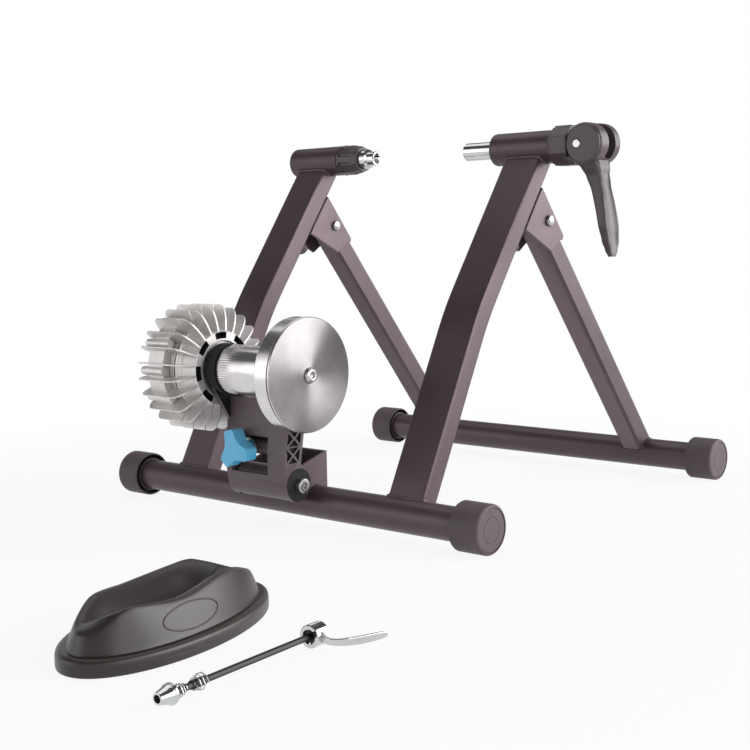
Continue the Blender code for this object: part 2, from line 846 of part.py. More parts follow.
def buffer_seat(x):
    on_leg = HINGE - BACK * HINGE_STANDOFF - HIGH * BUFFER_DROP
    return on_leg + Vector((x, 0, 0))


def fold_buffer(name, side, carrier):
    seat = buffer_seat(side * LEG_X)
    profile = [
        (0, BUFFER_HEIGHT),
        (BUFFER_R * 0.6, BUFFER_HEIGHT),
        (BUFFER_R * 0.85, BUFFER_HEIGHT - 0.002),
        (BUFFER_R, BUFFER_HEIGHT * 0.4),
        (BUFFER_R, GAP),
        (BUFFER_STEM_R, GAP),
        (BUFFER_STEM_R, -LEG_WALL * 2),
        (0, -LEG_WALL * 2),
    ]
    mesh = turned(profile, COARSE)
    mesh.transform(BACK.to_track_quat("Z", "Y").to_matrix().to_4x4())
    mesh.transform(Matrix.Translation(seat))
    return part(name, mesh, black_plastic, carrier, seat)


# Bracket and tension screw of the resistance unit


def unit_bracket(carrier):
    # A folded channel, open to the front, with a tab that holds the tension stud
    nose = arc(PIVOT_Y, PIVOT_Z, CHEEK_NOSE_R, 106, 270, 10)
    bottom = TUBE_Z + TUBE_R * 0.35
    outline = [(WEB_Y, BRACKET_HEIGHT)] + nose + [(-TUBE_R / 2, nose[-1][1]), (WEB_Y, bottom)]
    mesh = extruded(outline, 2 * CHEEK_X, "X")
    tab = box(
        (STUD_X - STUD_TAB_HALF, WEB_Y - PLATE, BRACKET_HEIGHT - 0.01),
        (STUD_X + STUD_TAB_HALF, WEB_Y, STUD_Z + STUD_TAB_RISE),
    )
    pocket = box(
        (-CHEEK_X + PLATE, -0.2, 0), (CHEEK_X - PLATE, WEB_Y - PLATE, BRACKET_HEIGHT * 2)
    )
    tube = cylinder("X", (0, 0, TUBE_Z), TUBE_R + GAP, -0.1, 0.1, FINE)
    pin = cylinder("X", PIVOT, PIVOT_BOLT_R + GAP, -0.1, 0.1, 16)
    stud = cylinder("Y", (STUD_X, 0, STUD_Z), STUD_R + GAP, 0, WEB_Y + 0.01, COARSE)
    mesh = cut(joined(mesh, tab), pocket, tube, pin, stud)
    return part("unit_bracket", mesh, powder_coat, carrier, PIVOT)


def tension_bolt(carrier):
    seat = WEB_Y + GAP
    knob_front = BAR_Y - BAR_R - 2 * GAP - KNOB_WASHER_THICK - KNOB_NECK - KNOB_THICK
    travel_in = BAR_REACH * math.radians(SWING_IN)
    tip = knob_front + KNOB_CAP + travel_in + 2 * GAP
    place = (STUD_X, 0, STUD_Z)
    shank = cylinder("Y", place, STUD_R, tip, seat + STUD_HEAD_HEIGHT / 2, COARSE)
    head = hexagon("Y", place, STUD_HEAD_FLATS, seat, seat + STUD_HEAD_HEIGHT)
    return part("tension_bolt", joined(head, shank), bright_steel, carrier, (STUD_X, WEB_Y, STUD_Z))


def knob_washer(carrier):
    face = BAR_Y - BAR_R - GAP
    place = (STUD_X, 0, STUD_Z)
    mesh = ring("Y", place, KNOB_WASHER_R, STUD_R + GAP, face - KNOB_WASHER_THICK, face, ROUND)
    return part("knob_washer", mesh, bright_steel, carrier)


def knob_outline():
    # Three arms with flat ends and hollow sides
    outline = []
    for i in range(3):
        middle = KNOB_TURN + 120 * i
        for turn, radius in (
            (-KNOB_ARM_HALF, KNOB_R),
            (KNOB_ARM_HALF, KNOB_R),
            (KNOB_ARM_HALF + 9, KNOB_WAIST_R + (KNOB_R - KNOB_WAIST_R) * 0.45),
            (50, KNOB_WAIST_R + (KNOB_R - KNOB_WAIST_R) * 0.08),
            (70, KNOB_WAIST_R + (KNOB_R - KNOB_WAIST_R) * 0.08),
            (111 - KNOB_ARM_HALF, KNOB_WAIST_R + (KNOB_R - KNOB_WAIST_R) * 0.45),
        ):
            angle = math.radians(middle + turn)
            outline.append((radius * math.cos(angle), radius * math.sin(angle)))
    return outline


def tension_knob(carrier):
    back = BAR_Y - BAR_R - 2 * GAP - KNOB_WASHER_THICK
    place = Vector((STUD_X, 0, STUD_Z))
    front = back - KNOB_NECK - KNOB_THICK
    mesh = extruded(knob_outline(), KNOB_THICK, "Y", back - KNOB_NECK - KNOB_THICK / 2)
    mesh = bevelled(mesh, 0.0012, 1, 60)
    mesh.transform(Matrix.Translation(place))
    neck = cylinder("Y", place, KNOB_NECK_R, back - KNOB_NECK - 0.002, back, 16)
    bore = cylinder("Y", place, STUD_R + GAP, front + KNOB_CAP, back + 0.01, COARSE)
    mesh = cut(joined(mesh, neck), bore)
    return part("tension_knob", mesh, blue_plastic, carrier)


def tension_spring(carrier):
    mesh = wound(
        "tension_spring",
        "Y",
        (STUD_X, 0, STUD_Z),
        TENSION_SPRING_R,
        TENSION_SPRING_R,
        TENSION_WIRE_R,
        BAR_Y + BAR_R + GAP,
        WEB_Y - PLATE - GAP,
        TENSION_TURNS,
        8,
    )
    return part("tension_spring", mesh, bright_steel, carrier, (STUD_X, WEB_Y, STUD_Z))


# Arm of the resistance unit

ARM_FRONT = (
    (PIVOT_Y - ARM_RING_R, PIVOT_Z),
    (-0.0495, 0.060),
    (-0.0492, 0.080),
    (-0.0462, 0.100),
    (-0.0455, 0.115),
    (-0.0455, ARM_TOP_Z),
)
ARM_BACK = (
    (-0.0240, ARM_TOP_Z),
    (-0.0205, 0.115),
    (-0.0211, 0.0965),
    (-0.0237, 0.082),
    (-0.0265, 0.066),
    (PIVOT_Y + ARM_RING_R, PIVOT_Z),
)


def arm_channel():
    # A solid arm hollowed from behind, so that two side walls, a curved front wall and
    # a top are left
    outline = list(ARM_FRONT) + list(ARM_BACK)
    outline += arc(PIVOT_Y, PIVOT_Z, ARM_RING_R, 0, -180, 16)[1:-1]
    channel = extruded(outline, 2 * ARM_X, "X")
    inner = []
    for point, after in zip(ARM_FRONT, ARM_FRONT[1:] + ARM_BACK[:1]):
        along = (Vector(after) - Vector(point)).normalized()
        inner.append(tuple(Vector(point) + Vector((along.y, -along.x)) * ARM_WALL))
    inner[-1] = (ARM_FRONT[-1][0] + ARM_WALL, ARM_TOP_Z - ARM_WALL)
    skirt = arc(PIVOT_Y, PIVOT_Z, ARM_RING_R - ARM_WALL, 180, 235, 5)
    below = arc(PIVOT_Y, PIVOT_Z, 2 * ARM_RING_R, 235, 236, 1)[0]
    behind = 0.06
    pocket = inner[1:] + [(behind, ARM_TOP_Z - ARM_WALL), (behind, below[1]), below] + skirt[::-1]
    return cut(channel, extruded(pocket, 2 * (CHEEK_X + GAP), "X"))


def flange_neck():
    # The left wall widens into the round flange that carries the shaft
    inset = 0.0005
    thick = ARM_X - CHEEK_X - GAP - 2 * inset
    low = 0.105
    outline = [
        (-0.0452, low),
        (UNIT_Y - FLANGE_R * 0.80, UNIT_Z - FLANGE_R * 0.55),
        (UNIT_Y + FLANGE_R * 0.90, UNIT_Z - FLANGE_R * 0.30),
        (-0.0212, low),
    ]
    return extruded(outline, thick, "X", -(CHEEK_X + GAP + inset + thick / 2))


def rib_pocket():
    # The right wall is recessed between a rim and crossed ribs
    rim = 0.0028
    rows = ((0.067, 0.0835), (0.0835, 0.100), (0.100, 0.1165))

    def across(z, points):
        for (y0, z0), (y1, z1) in zip(points, points[1:]):
            if min(z0, z1) <= z <= max(z0, z1):
                return y0 + (y1 - y0) * (z - z0) / (z1 - z0)
        return points[-1][0]

    pockets = []
    for low, high in rows:
        corners = []
        for z, points, inset in (
            (low, ARM_FRONT, rim),
            (low, ARM_BACK, -rim),
            (high, ARM_BACK, -rim),
            (high, ARM_FRONT, rim),
        ):
            corners.append(Vector((across(z, points) + inset, z)))
        centre = sum(corners, Vector((0, 0))) / 4
        for i in range(4):
            triangle = [corners[i], corners[(i + 1) % 4], centre]
            middle = sum(triangle, Vector((0, 0))) / 3
            shrink = 1 - 2.4 * RIB / (high - low)
            outline = [tuple(middle + (point - middle) * shrink) for point in triangle]
            pockets.append(extruded(outline, 2 * RIB_DEPTH, "X", ARM_X))
    return together(pockets)


def unit_arm(carrier):
    inner_half = CHEEK_X - PLATE - GAP
    bar_half = CHEEK_X + 0.002
    barrel = cylinder("X", PIVOT, ARM_BARREL_R, -inner_half, inner_half, 24)
    bar = cylinder("X", (0, BAR_Y, STUD_Z), BAR_R, -bar_half, bar_half, 16)
    flange = cylinder("X", UNIT, FLANGE_R, FLANGE_LEFT_X, FLANGE_RIGHT_X, FINE)
    mesh = joined(arm_channel(), flange_neck(), flange, barrel, bar)
    pin = cylinder("X", PIVOT, PIVOT_BOLT_R + FREE, -0.1, 0.1, 16)
    window = box((WINDOW_X0, -0.07, WINDOW_Z0), (WINDOW_X1, BAR_Y - BAR_R - GAP, WINDOW_Z1))
    slot = box(
        (STUD_X - STUD_R - FREE, BAR_Y - 0.02, STUD_Z - SLOT_DOWN),
        (STUD_X + STUD_R + FREE, BAR_Y + 0.02, STUD_Z + SLOT_UP),
    )
    nose = CHEEK_NOSE_R + GAP
    rooms = [
        cylinder("X", PIVOT, nose, low, high)
        for low, high in ((inner_half, CHEEK_X + GAP), (-CHEEK_X - GAP, -inner_half))
    ]
    seat = cylinder(
        "X", UNIT, BEARING_R + GAP, FLANGE_LEFT_X - 0.01, FLANGE_LEFT_X + BEARING_WIDTH + 2 * GAP
    )
    shaft = cylinder("X", UNIT, SHAFT_R + 2 * FREE, -0.1, 0.1, COARSE)
    mesh = cut(mesh, pin, window, slot, *rooms, seat, shaft, rib_pocket())
    return part("unit_arm", mesh, arm_plastic, carrier)


def pivot_bolt(carrier):
    seat = ARM_X + GAP
    head = seat + PIVOT_HEAD_HEIGHT
    tail = ARM_X + 3 * GAP + WASHER_THICK + PIVOT_NUT_HEIGHT + 0.002
    profile = [
        (0, head - 0.004),
        (0.0034, head - 0.004),
        (0.0034, head),
        (PIVOT_HEAD_R - 0.0008, head),
        (PIVOT_HEAD_R, head - 0.0008),
        (PIVOT_HEAD_R, seat),
        (PIVOT_BOLT_R, seat),
        (PIVOT_BOLT_R, -tail),
        (0, -tail),
    ]
    mesh = turned_on("X", PIVOT, profile, 16)
    return part("pivot_bolt", mesh, bright_steel, carrier, PIVOT)


def pivot_washer(carrier):
    face = -ARM_X - GAP
    mesh = ring("X", PIVOT, WASHER_R, PIVOT_BOLT_R + GAP, face - WASHER_THICK, face, ROUND)
    return part("pivot_washer", mesh, white_nylon, carrier, PIVOT)


def pivot_nut(carrier):
    face = -ARM_X - 2 * GAP - WASHER_THICK
    mesh = hexagon("X", PIVOT, PIVOT_NUT_FLATS, face - PIVOT_NUT_HEIGHT, face)
    bore = cylinder("X", PIVOT, PIVOT_BOLT_R + GAP, face - 0.02, face + 0.01, 16)
    return part("pivot_nut", cut(mesh, bore), bright_steel, carrier, PIVOT)


# Fluid chamber, shaft, roller and flywheel


def fins(outline, count, thick):
    # Blades that stand out from the shaft line, given by (radius, x) points
    blades = []
    for i in range(count):
        blade = extruded(outline, thick, "Y")
        blade.transform(Matrix.Rotation(2 * math.pi * (i + 0.5) / count, 4, "Z"))
        blades.append(blade)
    return together(blades)


def on_shaft_line(mesh):
    mesh.transform(Matrix.Rotation(math.pi / 2, 4, "Y"))
    mesh.transform(Matrix.Translation(UNIT))
    return mesh


def fluid_housing_inner(carrier):
    # The half of the finned casing that bolts to the arm's flange
    hub_x = FLANGE_LEFT_X - GAP
    parting = PARTING_X + GASKET / 2 + GAP
    case = [
        (FLANGE_R + 0.0050, hub_x),
        (0.0345, hub_x - 0.0010),
        (CASE_R - 0.002, hub_x - 0.0125),
        (CASE_R, parting + 2 * LIP_WIDTH),
        (LIP_R, parting + 2 * LIP_WIDTH),
        (LIP_R, parting),
        (CHAMBER_R, parting),
        (CHAMBER_R, CHAMBER_RIGHT_X),
        (SEAL_R + GAP, CHAMBER_RIGHT_X),
        (SEAL_R + GAP, CHAMBER_RIGHT_X + SEAL_WIDTH + GAP),
        (SHAFT_R + 2 * FREE, CHAMBER_RIGHT_X + SEAL_WIDTH + GAP),
        (SHAFT_R + 2 * FREE, hub_x),
    ]
    blade = [
        (0.0340, hub_x - 0.0004),
        (0.0500, hub_x - 0.0016),
        (0.0585, hub_x - 0.0042),
        (0.0622, hub_x - 0.0080),
        (FIN_R, hub_x - 0.0130),
        (FIN_R, parting),
        (CHAMBER_R + 0.002, parting),
        (CHAMBER_R, hub_x - 0.0125),
    ]
    casing = turned(case, FIN_COUNT, hollow=True, twist=180 / FIN_COUNT)
    mesh = joined(casing, fins(blade, FIN_COUNT, FIN_THICK))
    return part("fluid_housing_inner", on_shaft_line(mesh), cast_aluminium, carrier, UNIT)


def fluid_housing_outer(carrier):
    # The outer half of the casing, with the bosses for the screws that clamp the halves
    parting = PARTING_X - GASKET / 2 - GAP
    seat = CHAMBER_LEFT_X - BEARING_WIDTH - GAP
    profile = [
        (0, seat),
        (BEARING_R + GAP, seat),
        (BEARING_R + GAP, CHAMBER_LEFT_X),
        (CHAMBER_R, CHAMBER_LEFT_X),
        (CHAMBER_R, parting),
        (LIP_R, parting),
        (LIP_R, parting - 2 * LIP_WIDTH),
        (CASE_R, parting - 2 * LIP_WIDTH),
        (CASE_R, CASE_DRUM_X),
        (CASE_DRUM_R, CASE_DRUM_X),
        (CASE_DRUM_R, CASE_LEFT_X + 0.006),
        (CASE_DRUM_R - 0.010, CASE_LEFT_X),
        (0, CASE_LEFT_X),
    ]
    blade = [
        (CHAMBER_R + 0.002, parting),
        (FIN_R, parting),
        (FIN_R, FIN_LEFT_X + 0.007),
        (FIN_R - 0.008, FIN_LEFT_X),
        (0.034, FIN_LEFT_X + 0.001),
        (0.034, CASE_LEFT_X + 0.003),
        (CHAMBER_R + 0.002, CHAMBER_LEFT_X - 0.002),
    ]
    bosses = []
    for i in range(BOSS_COUNT):
        angle = 2 * math.pi * i / BOSS_COUNT
        place = (BOSS_CIRCLE_R * math.cos(angle), BOSS_CIRCLE_R * math.sin(angle), 0)
        bosses.append(
            cylinder("Z", place, BOSS_R, FIN_LEFT_X + 0.004, parting - 3 * LIP_WIDTH, 8)
        )
    casing = turned(profile, FIN_COUNT, twist=180 / FIN_COUNT)
    mesh = joined(casing, fins(blade, FIN_COUNT, FIN_THICK), *bosses)
    return part("fluid_housing_outer", on_shaft_line(mesh), cast_aluminium, carrier, UNIT)


def housing_gasket(carrier):
    half = GASKET / 2
    mesh = ring("X", UNIT, LIP_R, CHAMBER_R, PARTING_X - half, PARTING_X + half, FIN_COUNT)
    return part("housing_gasket", mesh, black_rubber, carrier, UNIT)


def shaft_seal(carrier):
    start = CHAMBER_RIGHT_X
    mesh = ring("X", UNIT, SEAL_R, SHAFT_R + GAP, start, start + SEAL_WIDTH, COARSE)
    return part("shaft_seal", mesh, black_rubber, carrier, UNIT)


def bearing(name, start, carrier):
    # Two races and a shield, one solid at this scale
    end = start + BEARING_WIDTH
    chamfer = 0.0006
    profile = [
        (BEARING_R, end - chamfer),
        (BEARING_R, start + chamfer),
        (BEARING_R - chamfer, start),
        (SHAFT_R + GAP, start),
        (SHAFT_R + GAP, end),
        (BEARING_R - chamfer, end),
    ]
    mesh = turned_on("X", UNIT, profile, COARSE, hollow=True)
    return part(name, mesh, bright_steel, carrier, UNIT)


def impeller(carrier):
    # A disc with straight vanes on both faces, turning in the fluid
    left = CHAMBER_LEFT_X + 0.0025
    right = CHAMBER_RIGHT_X - 0.0025
    middle = (left + right) / 2
    hub = 0.012
    profile = [
        (hub, right),
        (hub, middle + 0.0012),
        (IMPELLER_R, middle + 0.0012),
        (IMPELLER_R, middle - 0.0012),
        (hub, middle - 0.0012),
        (hub, left),
        (SHAFT_R + GAP, left),
        (SHAFT_R + GAP, right),
    ]
    vane = [(hub - 0.002, left), (hub - 0.002, right), (IMPELLER_R, right), (IMPELLER_R, left)]
    mesh = joined(turned(profile, 16, hollow=True), fins(vane, VANE_COUNT, VANE_THICK))
    return part("impeller", on_shaft_line(mesh), matt_aluminium, carrier)


def drive_shaft(carrier):
    left = CHAMBER_LEFT_X - BEARING_WIDTH + GAP
    profile = [
        (0, SHAFT_END_X - 0.014),
        (SCREW_R + GAP, SHAFT_END_X - 0.014),
        (SCREW_R + GAP, SHAFT_END_X),
        (SHAFT_R - 0.0005, SHAFT_END_X),
        (SHAFT_R, SHAFT_END_X - 0.0005),
        (SHAFT_R, left),
        (0, left),
    ]
    return part("drive_shaft", turned_on("X", UNIT, profile, COARSE), bright_steel, carrier)


def roller(carrier):
    bore = SHAFT_R + GAP
    edge = 0.0012
    profile = [
        (ROLLER_HUB_R, FLYWHEEL_LEFT_X - GAP),
        (ROLLER_HUB_R, ROLLER_RIGHT_X),
        (ROLLER_R - edge, ROLLER_RIGHT_X),
        (ROLLER_R, ROLLER_RIGHT_X - edge),
        (ROLLER_R, ROLLER_LEFT_X + edge),
        (ROLLER_R - edge, ROLLER_LEFT_X),
        (ROLLER_HUB_R, ROLLER_LEFT_X),
        (ROLLER_HUB_R - 0.002, FLANGE_RIGHT_X + FREE),
        (bore, FLANGE_RIGHT_X + FREE),
        (bore, FLYWHEEL_LEFT_X - GAP),
    ]
    mesh = turned_on("X", UNIT, profile, FINE, hollow=True)
    return part("roller", mesh, polished_steel, carrier)


def flywheel(carrier):
    bore = SHAFT_R + GAP
    left = FLYWHEEL_LEFT_X
    right = FLYWHEEL_RIGHT_X
    groove_x = right - 0.0030
    profile = [
        (SCREW_R + GAP, right),
        (FLYWHEEL_R - 0.0012, right),
        (FLYWHEEL_R, right - 0.0012),
        (FLYWHEEL_R, groove_x + 0.0008),
        (FLYWHEEL_R - FLYWHEEL_GROOVE, groove_x + 0.0003),
        (FLYWHEEL_R - FLYWHEEL_GROOVE, groove_x - 0.0003),
        (FLYWHEEL_R, groove_x - 0.0008),
        (FLYWHEEL_R, left + 0.0008),
        (FLYWHEEL_R - 0.0008, left),
        (bore, left),
        (bore, SHAFT_END_X + GAP),
        (SCREW_R + GAP, SHAFT_END_X + GAP),
    ]
    mesh = turned_on("X", UNIT, profile, 32, hollow=True)
    return part("flywheel", mesh, polished_steel, carrier)


def flywheel_screw(carrier):
    seat = FLYWHEEL_RIGHT_X + GAP
    top = seat + SCREW_HEAD_HEIGHT
    profile = [
        (0, top - 0.0025),
        (0.0022, top - 0.0025),
        (0.0022, top),
        (SCREW_HEAD_R * 0.7, top - 0.0003),
        (SCREW_HEAD_R, seat + 0.0018),
        (SCREW_HEAD_R, seat),
        (SCREW_R, seat),
        (SCREW_R, SHAFT_END_X - 0.012),
        (0, SHAFT_END_X - 0.012),
    ]
    return part("flywheel_screw", turned_on("X", UNIT, profile, COARSE), bright_steel, carrier)


# Quick clamp


def clamp_spindle(carrier):
    # A plunger with a cup for the skewer, a shoulder for its spring and an eyed tongue
    place = (0, AXLE_Y, AXLE_Z)
    tip = SPINDLE_TIP_X
    profile = [
        (0, TONGUE_X),
        (SPINDLE_R, TONGUE_X),
        (SPINDLE_R, SHOULDER_X + SHOULDER_THICK),
        (SHOULDER_R, SHOULDER_X + SHOULDER_THICK),
        (SHOULDER_R, SHOULDER_X),
        (SPINDLE_R, SHOULDER_X),
        (SPINDLE_R, tip + 0.0015),
        (SPINDLE_R - 0.0015, tip),
        (CUP_R + 0.0008, tip),
        (CUP_R, tip + CUP_DEPTH),
        (0, tip + CUP_DEPTH),
    ]
    mesh = turned_on("X", place, profile, ROUND)
    root = TONGUE_X - 0.001
    outline = [(root, AXLE_Z - EYE_R), (root, AXLE_Z + EYE_R)]
    outline += arc(PIN_X, AXLE_Z, EYE_R, 90, -90, 10)
    tongue = extruded(outline, TONGUE, "Y", AXLE_Y)
    pin = cylinder("Y", (PIN_X, 0, AXLE_Z), PIN_R + GAP, 0, 2 * AXLE_Y, COARSE)
    mesh = cut(joined(mesh, tongue), pin)
    return part("clamp_spindle", mesh, chrome, carrier)


def cam_housing(carrier):
    # Black collar with eight flats between the sleeve and the lever's cam
    start = SLEEVE_OUTER_X + GAP
    flat = HOUSING_FLATS / 2
    neck = HOUSING_NECK_FLATS / 2
    bore = SHOULDER_R + 2 * GAP
    outline = [
        (flat - 0.0008, HOUSING_END_X),
        (flat, HOUSING_END_X - 0.0008),
        (flat, start + 2 * HOUSING_NECK),
        (neck, start + HOUSING_NECK),
        (neck, start),
    ]
    place = (0, AXLE_Y, AXLE_Z)
    outline = [(0, HOUSING_END_X)] + octagonal(outline) + [(0, start)]
    mesh = turned_on("X", place, outline, 8, twist=22.5)
    room = cylinder("X", place, bore, 0, HOUSING_END_X - HOUSING_WALL)
    mesh = cut(mesh, room, cylinder("X", place, TONGUE_HOLE_R, 0, 0.5))
    return part("cam_housing", mesh, black_plastic, carrier, (start, AXLE_Y, AXLE_Z))


def handle_ring(share):
    # One rounded section of the lever's handle, from the drum at 0 to the tip at 1
    drop = 0.012 + (HANDLE_LENGTH - 0.012) * share
    swing = 0.0065 + 0.0225 * share + 0.0035 * math.sin(math.pi * share)
    thick = HANDLE_THICK * (1.35 - 0.55 * min(share * 3, 1) + 0.35 * math.sin(math.pi * share) ** 2)
    thick *= 1 if share < 0.97 else 0.7
    root_width = NEAR_EAR + FAR_EAR + TONGUE + 2 * SLOT_SIDE
    stations = (
        (0, root_width),
        (0.25, HANDLE_NECK_WIDTH),
        (0.66, HANDLE_WIDTH),
        (0.86, HANDLE_WIDTH * 0.86),
        (1, HANDLE_TIP_WIDTH),
    )
    for (low, narrow), (high, wide) in zip(stations, stations[1:]):
        if low <= share <= high:
            part_way = (share - low) / (high - low)
            width = narrow + (wide - narrow) * (3 - 2 * part_way) * part_way**2
    shift = (FAR_EAR - NEAR_EAR) / 2
    corner = min(width, thick) * 0.32
    points = rounded_rectangle(thick, width, corner)
    groove = 0.0022 * math.sin(math.pi * min(share * 1.05, 1))
    centre = Vector((PIN_X + swing, AXLE_Y + shift, AXLE_Z - drop))
    ring_points = []
    for u, v in points:
        hollow = groove if u > 0 and abs(v) < width * 0.2 else 0
        ring_points.append(centre + Vector((u - hollow, v, 0)))
    return ring_points


def cam_lever(carrier):
    # A drum set off its pin, with a slot for the spindle's tongue and a long handle
    near = AXLE_Y - TONGUE / 2 - SLOT_SIDE - NEAR_EAR
    far = AXLE_Y + TONGUE / 2 + SLOT_SIDE + FAR_EAR
    edge = 0.0012
    drum = [
        (0, far),
        (DRUM_R - edge, far),
        (DRUM_R, far - edge),
        (DRUM_R, near + edge),
        (DRUM_R - edge, near),
        (0, near),
    ]
    mesh = turned_on("Y", (DRUM_X, 0, AXLE_Z), drum, 28)
    sections = 8
    mesh = joined(mesh, lofted([handle_ring(i / sections) for i in range(sections + 1)]))
    half_slot = TONGUE / 2 + SLOT_SIDE
    slot = box(
        (PIN_X - 2 * DRUM_R, AXLE_Y - half_slot, AXLE_Z - EYE_R - 2 * FREE),
        (PIN_X + 2 * DRUM_R, AXLE_Y + half_slot, AXLE_Z + 2 * DRUM_R),
    )
    pin = cylinder("Y", (PIN_X, 0, AXLE_Z), PIN_R + GAP, 0, 2 * AXLE_Y, COARSE)
    mesh = cut(mesh, slot, pin)
    return part("cam_lever", mesh, black_plastic, carrier)


def cam_pin(carrier):
    near = AXLE_Y - TONGUE / 2 - SLOT_SIDE - NEAR_EAR - 0.0006
    far = AXLE_Y + TONGUE / 2 + SLOT_SIDE + FAR_EAR + 0.0006
    profile = [
        (0, far),
        (PIN_R - 0.0006, far),
        (PIN_R, far - 0.0006),
        (PIN_R, near + 0.0006),
        (PIN_R - 0.0006, near),
        (0, near),
    ]
    mesh = turned_on("Y", (PIN_X, 0, AXLE_Z), profile, COARSE)
    return part("cam_pin", mesh, bright_steel, carrier)


def clamp_spring(carrier):
    mesh = wound(
        "clamp_spring",
        "X",
        (0, AXLE_Y, AXLE_Z),
        CLAMP_SPRING_R,
        CLAMP_SPRING_R,
        CLAMP_WIRE_R,
        SHOULDER_X + SHOULDER_THICK + GAP,
        HOUSING_END_X - HOUSING_WALL - GAP,
        CLAMP_TURNS,
        8,
    )
    return part("clamp_spring", mesh, bright_steel, carrier, (SLEEVE_OUTER_X, AXLE_Y, AXLE_Z))


# Adjustable cup


def lock_collar(carrier):
    # A faceted grip that turns against the end of the left sleeve
    outer = -SLEEVE_INNER_X + GAP
    inner = -COLLAR_END_X
    shoulder = outer + (inner - outer) * 0.55
    corner = 1 / math.cos(math.pi / COLLAR_FACETS)
    profile = [
        (0, inner),
        ((COLLAR_TIP_R - 0.001) * corner, inner),
        (COLLAR_TIP_R * corner, inner - 0.001),
        (COLLAR_R * corner, shoulder),
        (COLLAR_R * corner, outer + 0.001),
        ((COLLAR_R - 0.001) * corner, outer),
        (0, outer),
    ]
    place = (0, AXLE_Y, AXLE_Z)
    mesh = turned_on("X", place, profile, COLLAR_FACETS)
    flutes = []
    for i in range(COLLAR_FACETS):
        angle = 2 * math.pi * (i + 0.5) / COLLAR_FACETS
        reach = COLLAR_R * 1.04
        spot = Vector(place) + Vector((0, reach * math.cos(angle), reach * math.sin(angle)))
        flutes.append(cylinder("X", spot, 0.0022, outer + 0.004, inner + 0.01, 6))
    bore = cylinder("X", place, CUP_BOLT_R + GAP, -0.3, 0, ROUND)
    mesh = cut(mesh, together(flutes), bore)
    return part("lock_collar", mesh, black_plastic, carrier)


def cup_bolt(carrier):
    # The bolt whose hollow tip holds the left end of the axle skewer
    place = (0, AXLE_Y, AXLE_Z)
    tip = -CUP_TIP_X
    profile = [
        (0, tip - CUP_DEPTH),
        (CUP_R - 0.0008, tip - CUP_DEPTH),
        (CUP_R, tip),
        (CUP_TIP_R - 0.001, tip),
        (CUP_TIP_R, tip - 0.001),
        (CUP_TIP_R, -CUP_BOLT_END_X + 0.0008),
        (CUP_BOLT_R - 0.0012, -CUP_BOLT_END_X),
        (CUP_BOLT_R, -CUP_BOLT_END_X - 0.0012),
        (CUP_BOLT_R, -CUP_BOLT_TAIL_X),
        (0, -CUP_BOLT_TAIL_X),
    ]
    mesh = turned_on("X", place, profile, ROUND)
    notch = 0.0012
    bars = [
        box(
            (tip - 0.003, AXLE_Y - reach_y, AXLE_Z - reach_z),
            (tip + 0.003, AXLE_Y + reach_y, AXLE_Z + reach_z),
        )
        for reach_y, reach_z in ((notch, 0.02), (0.02, notch))
    ]
    mesh = cut(mesh, *bars)
    return part("cup_bolt", mesh, chrome, carrier)


# Front wheel block


def block_crest(share):
    # Height of the block's crest along its length, from -1 at the low end to 1
    low_end = 0.56
    middle = 0.80
    horn = math.exp(-(((share - 0.42) / 0.22) ** 2))
    shoulder = 1 / (1 + math.exp(-(share + 0.88) / 0.05))
    fall = 1 / (1 + math.exp((share - 0.66) / 0.07))
    height = low_end + (middle - low_end) * shoulder
    height += (1 - middle) * horn
    height -= (middle - 0.70) * (1 - fall)
    return BLOCK_CREST * height


def block_ring(length, width, height):
    # One oval ring, with a height that may depend on the place
    points = []
    for i in range(BLOCK_SIDES):
        angle = 2 * math.pi * i / BLOCK_SIDES
        along = length / 2 * math.cos(angle)
        across = width / 2 * math.sin(angle)
        level = height(along, across) if callable(height) else height
        points.append(Vector((across, along, level)))
    return points


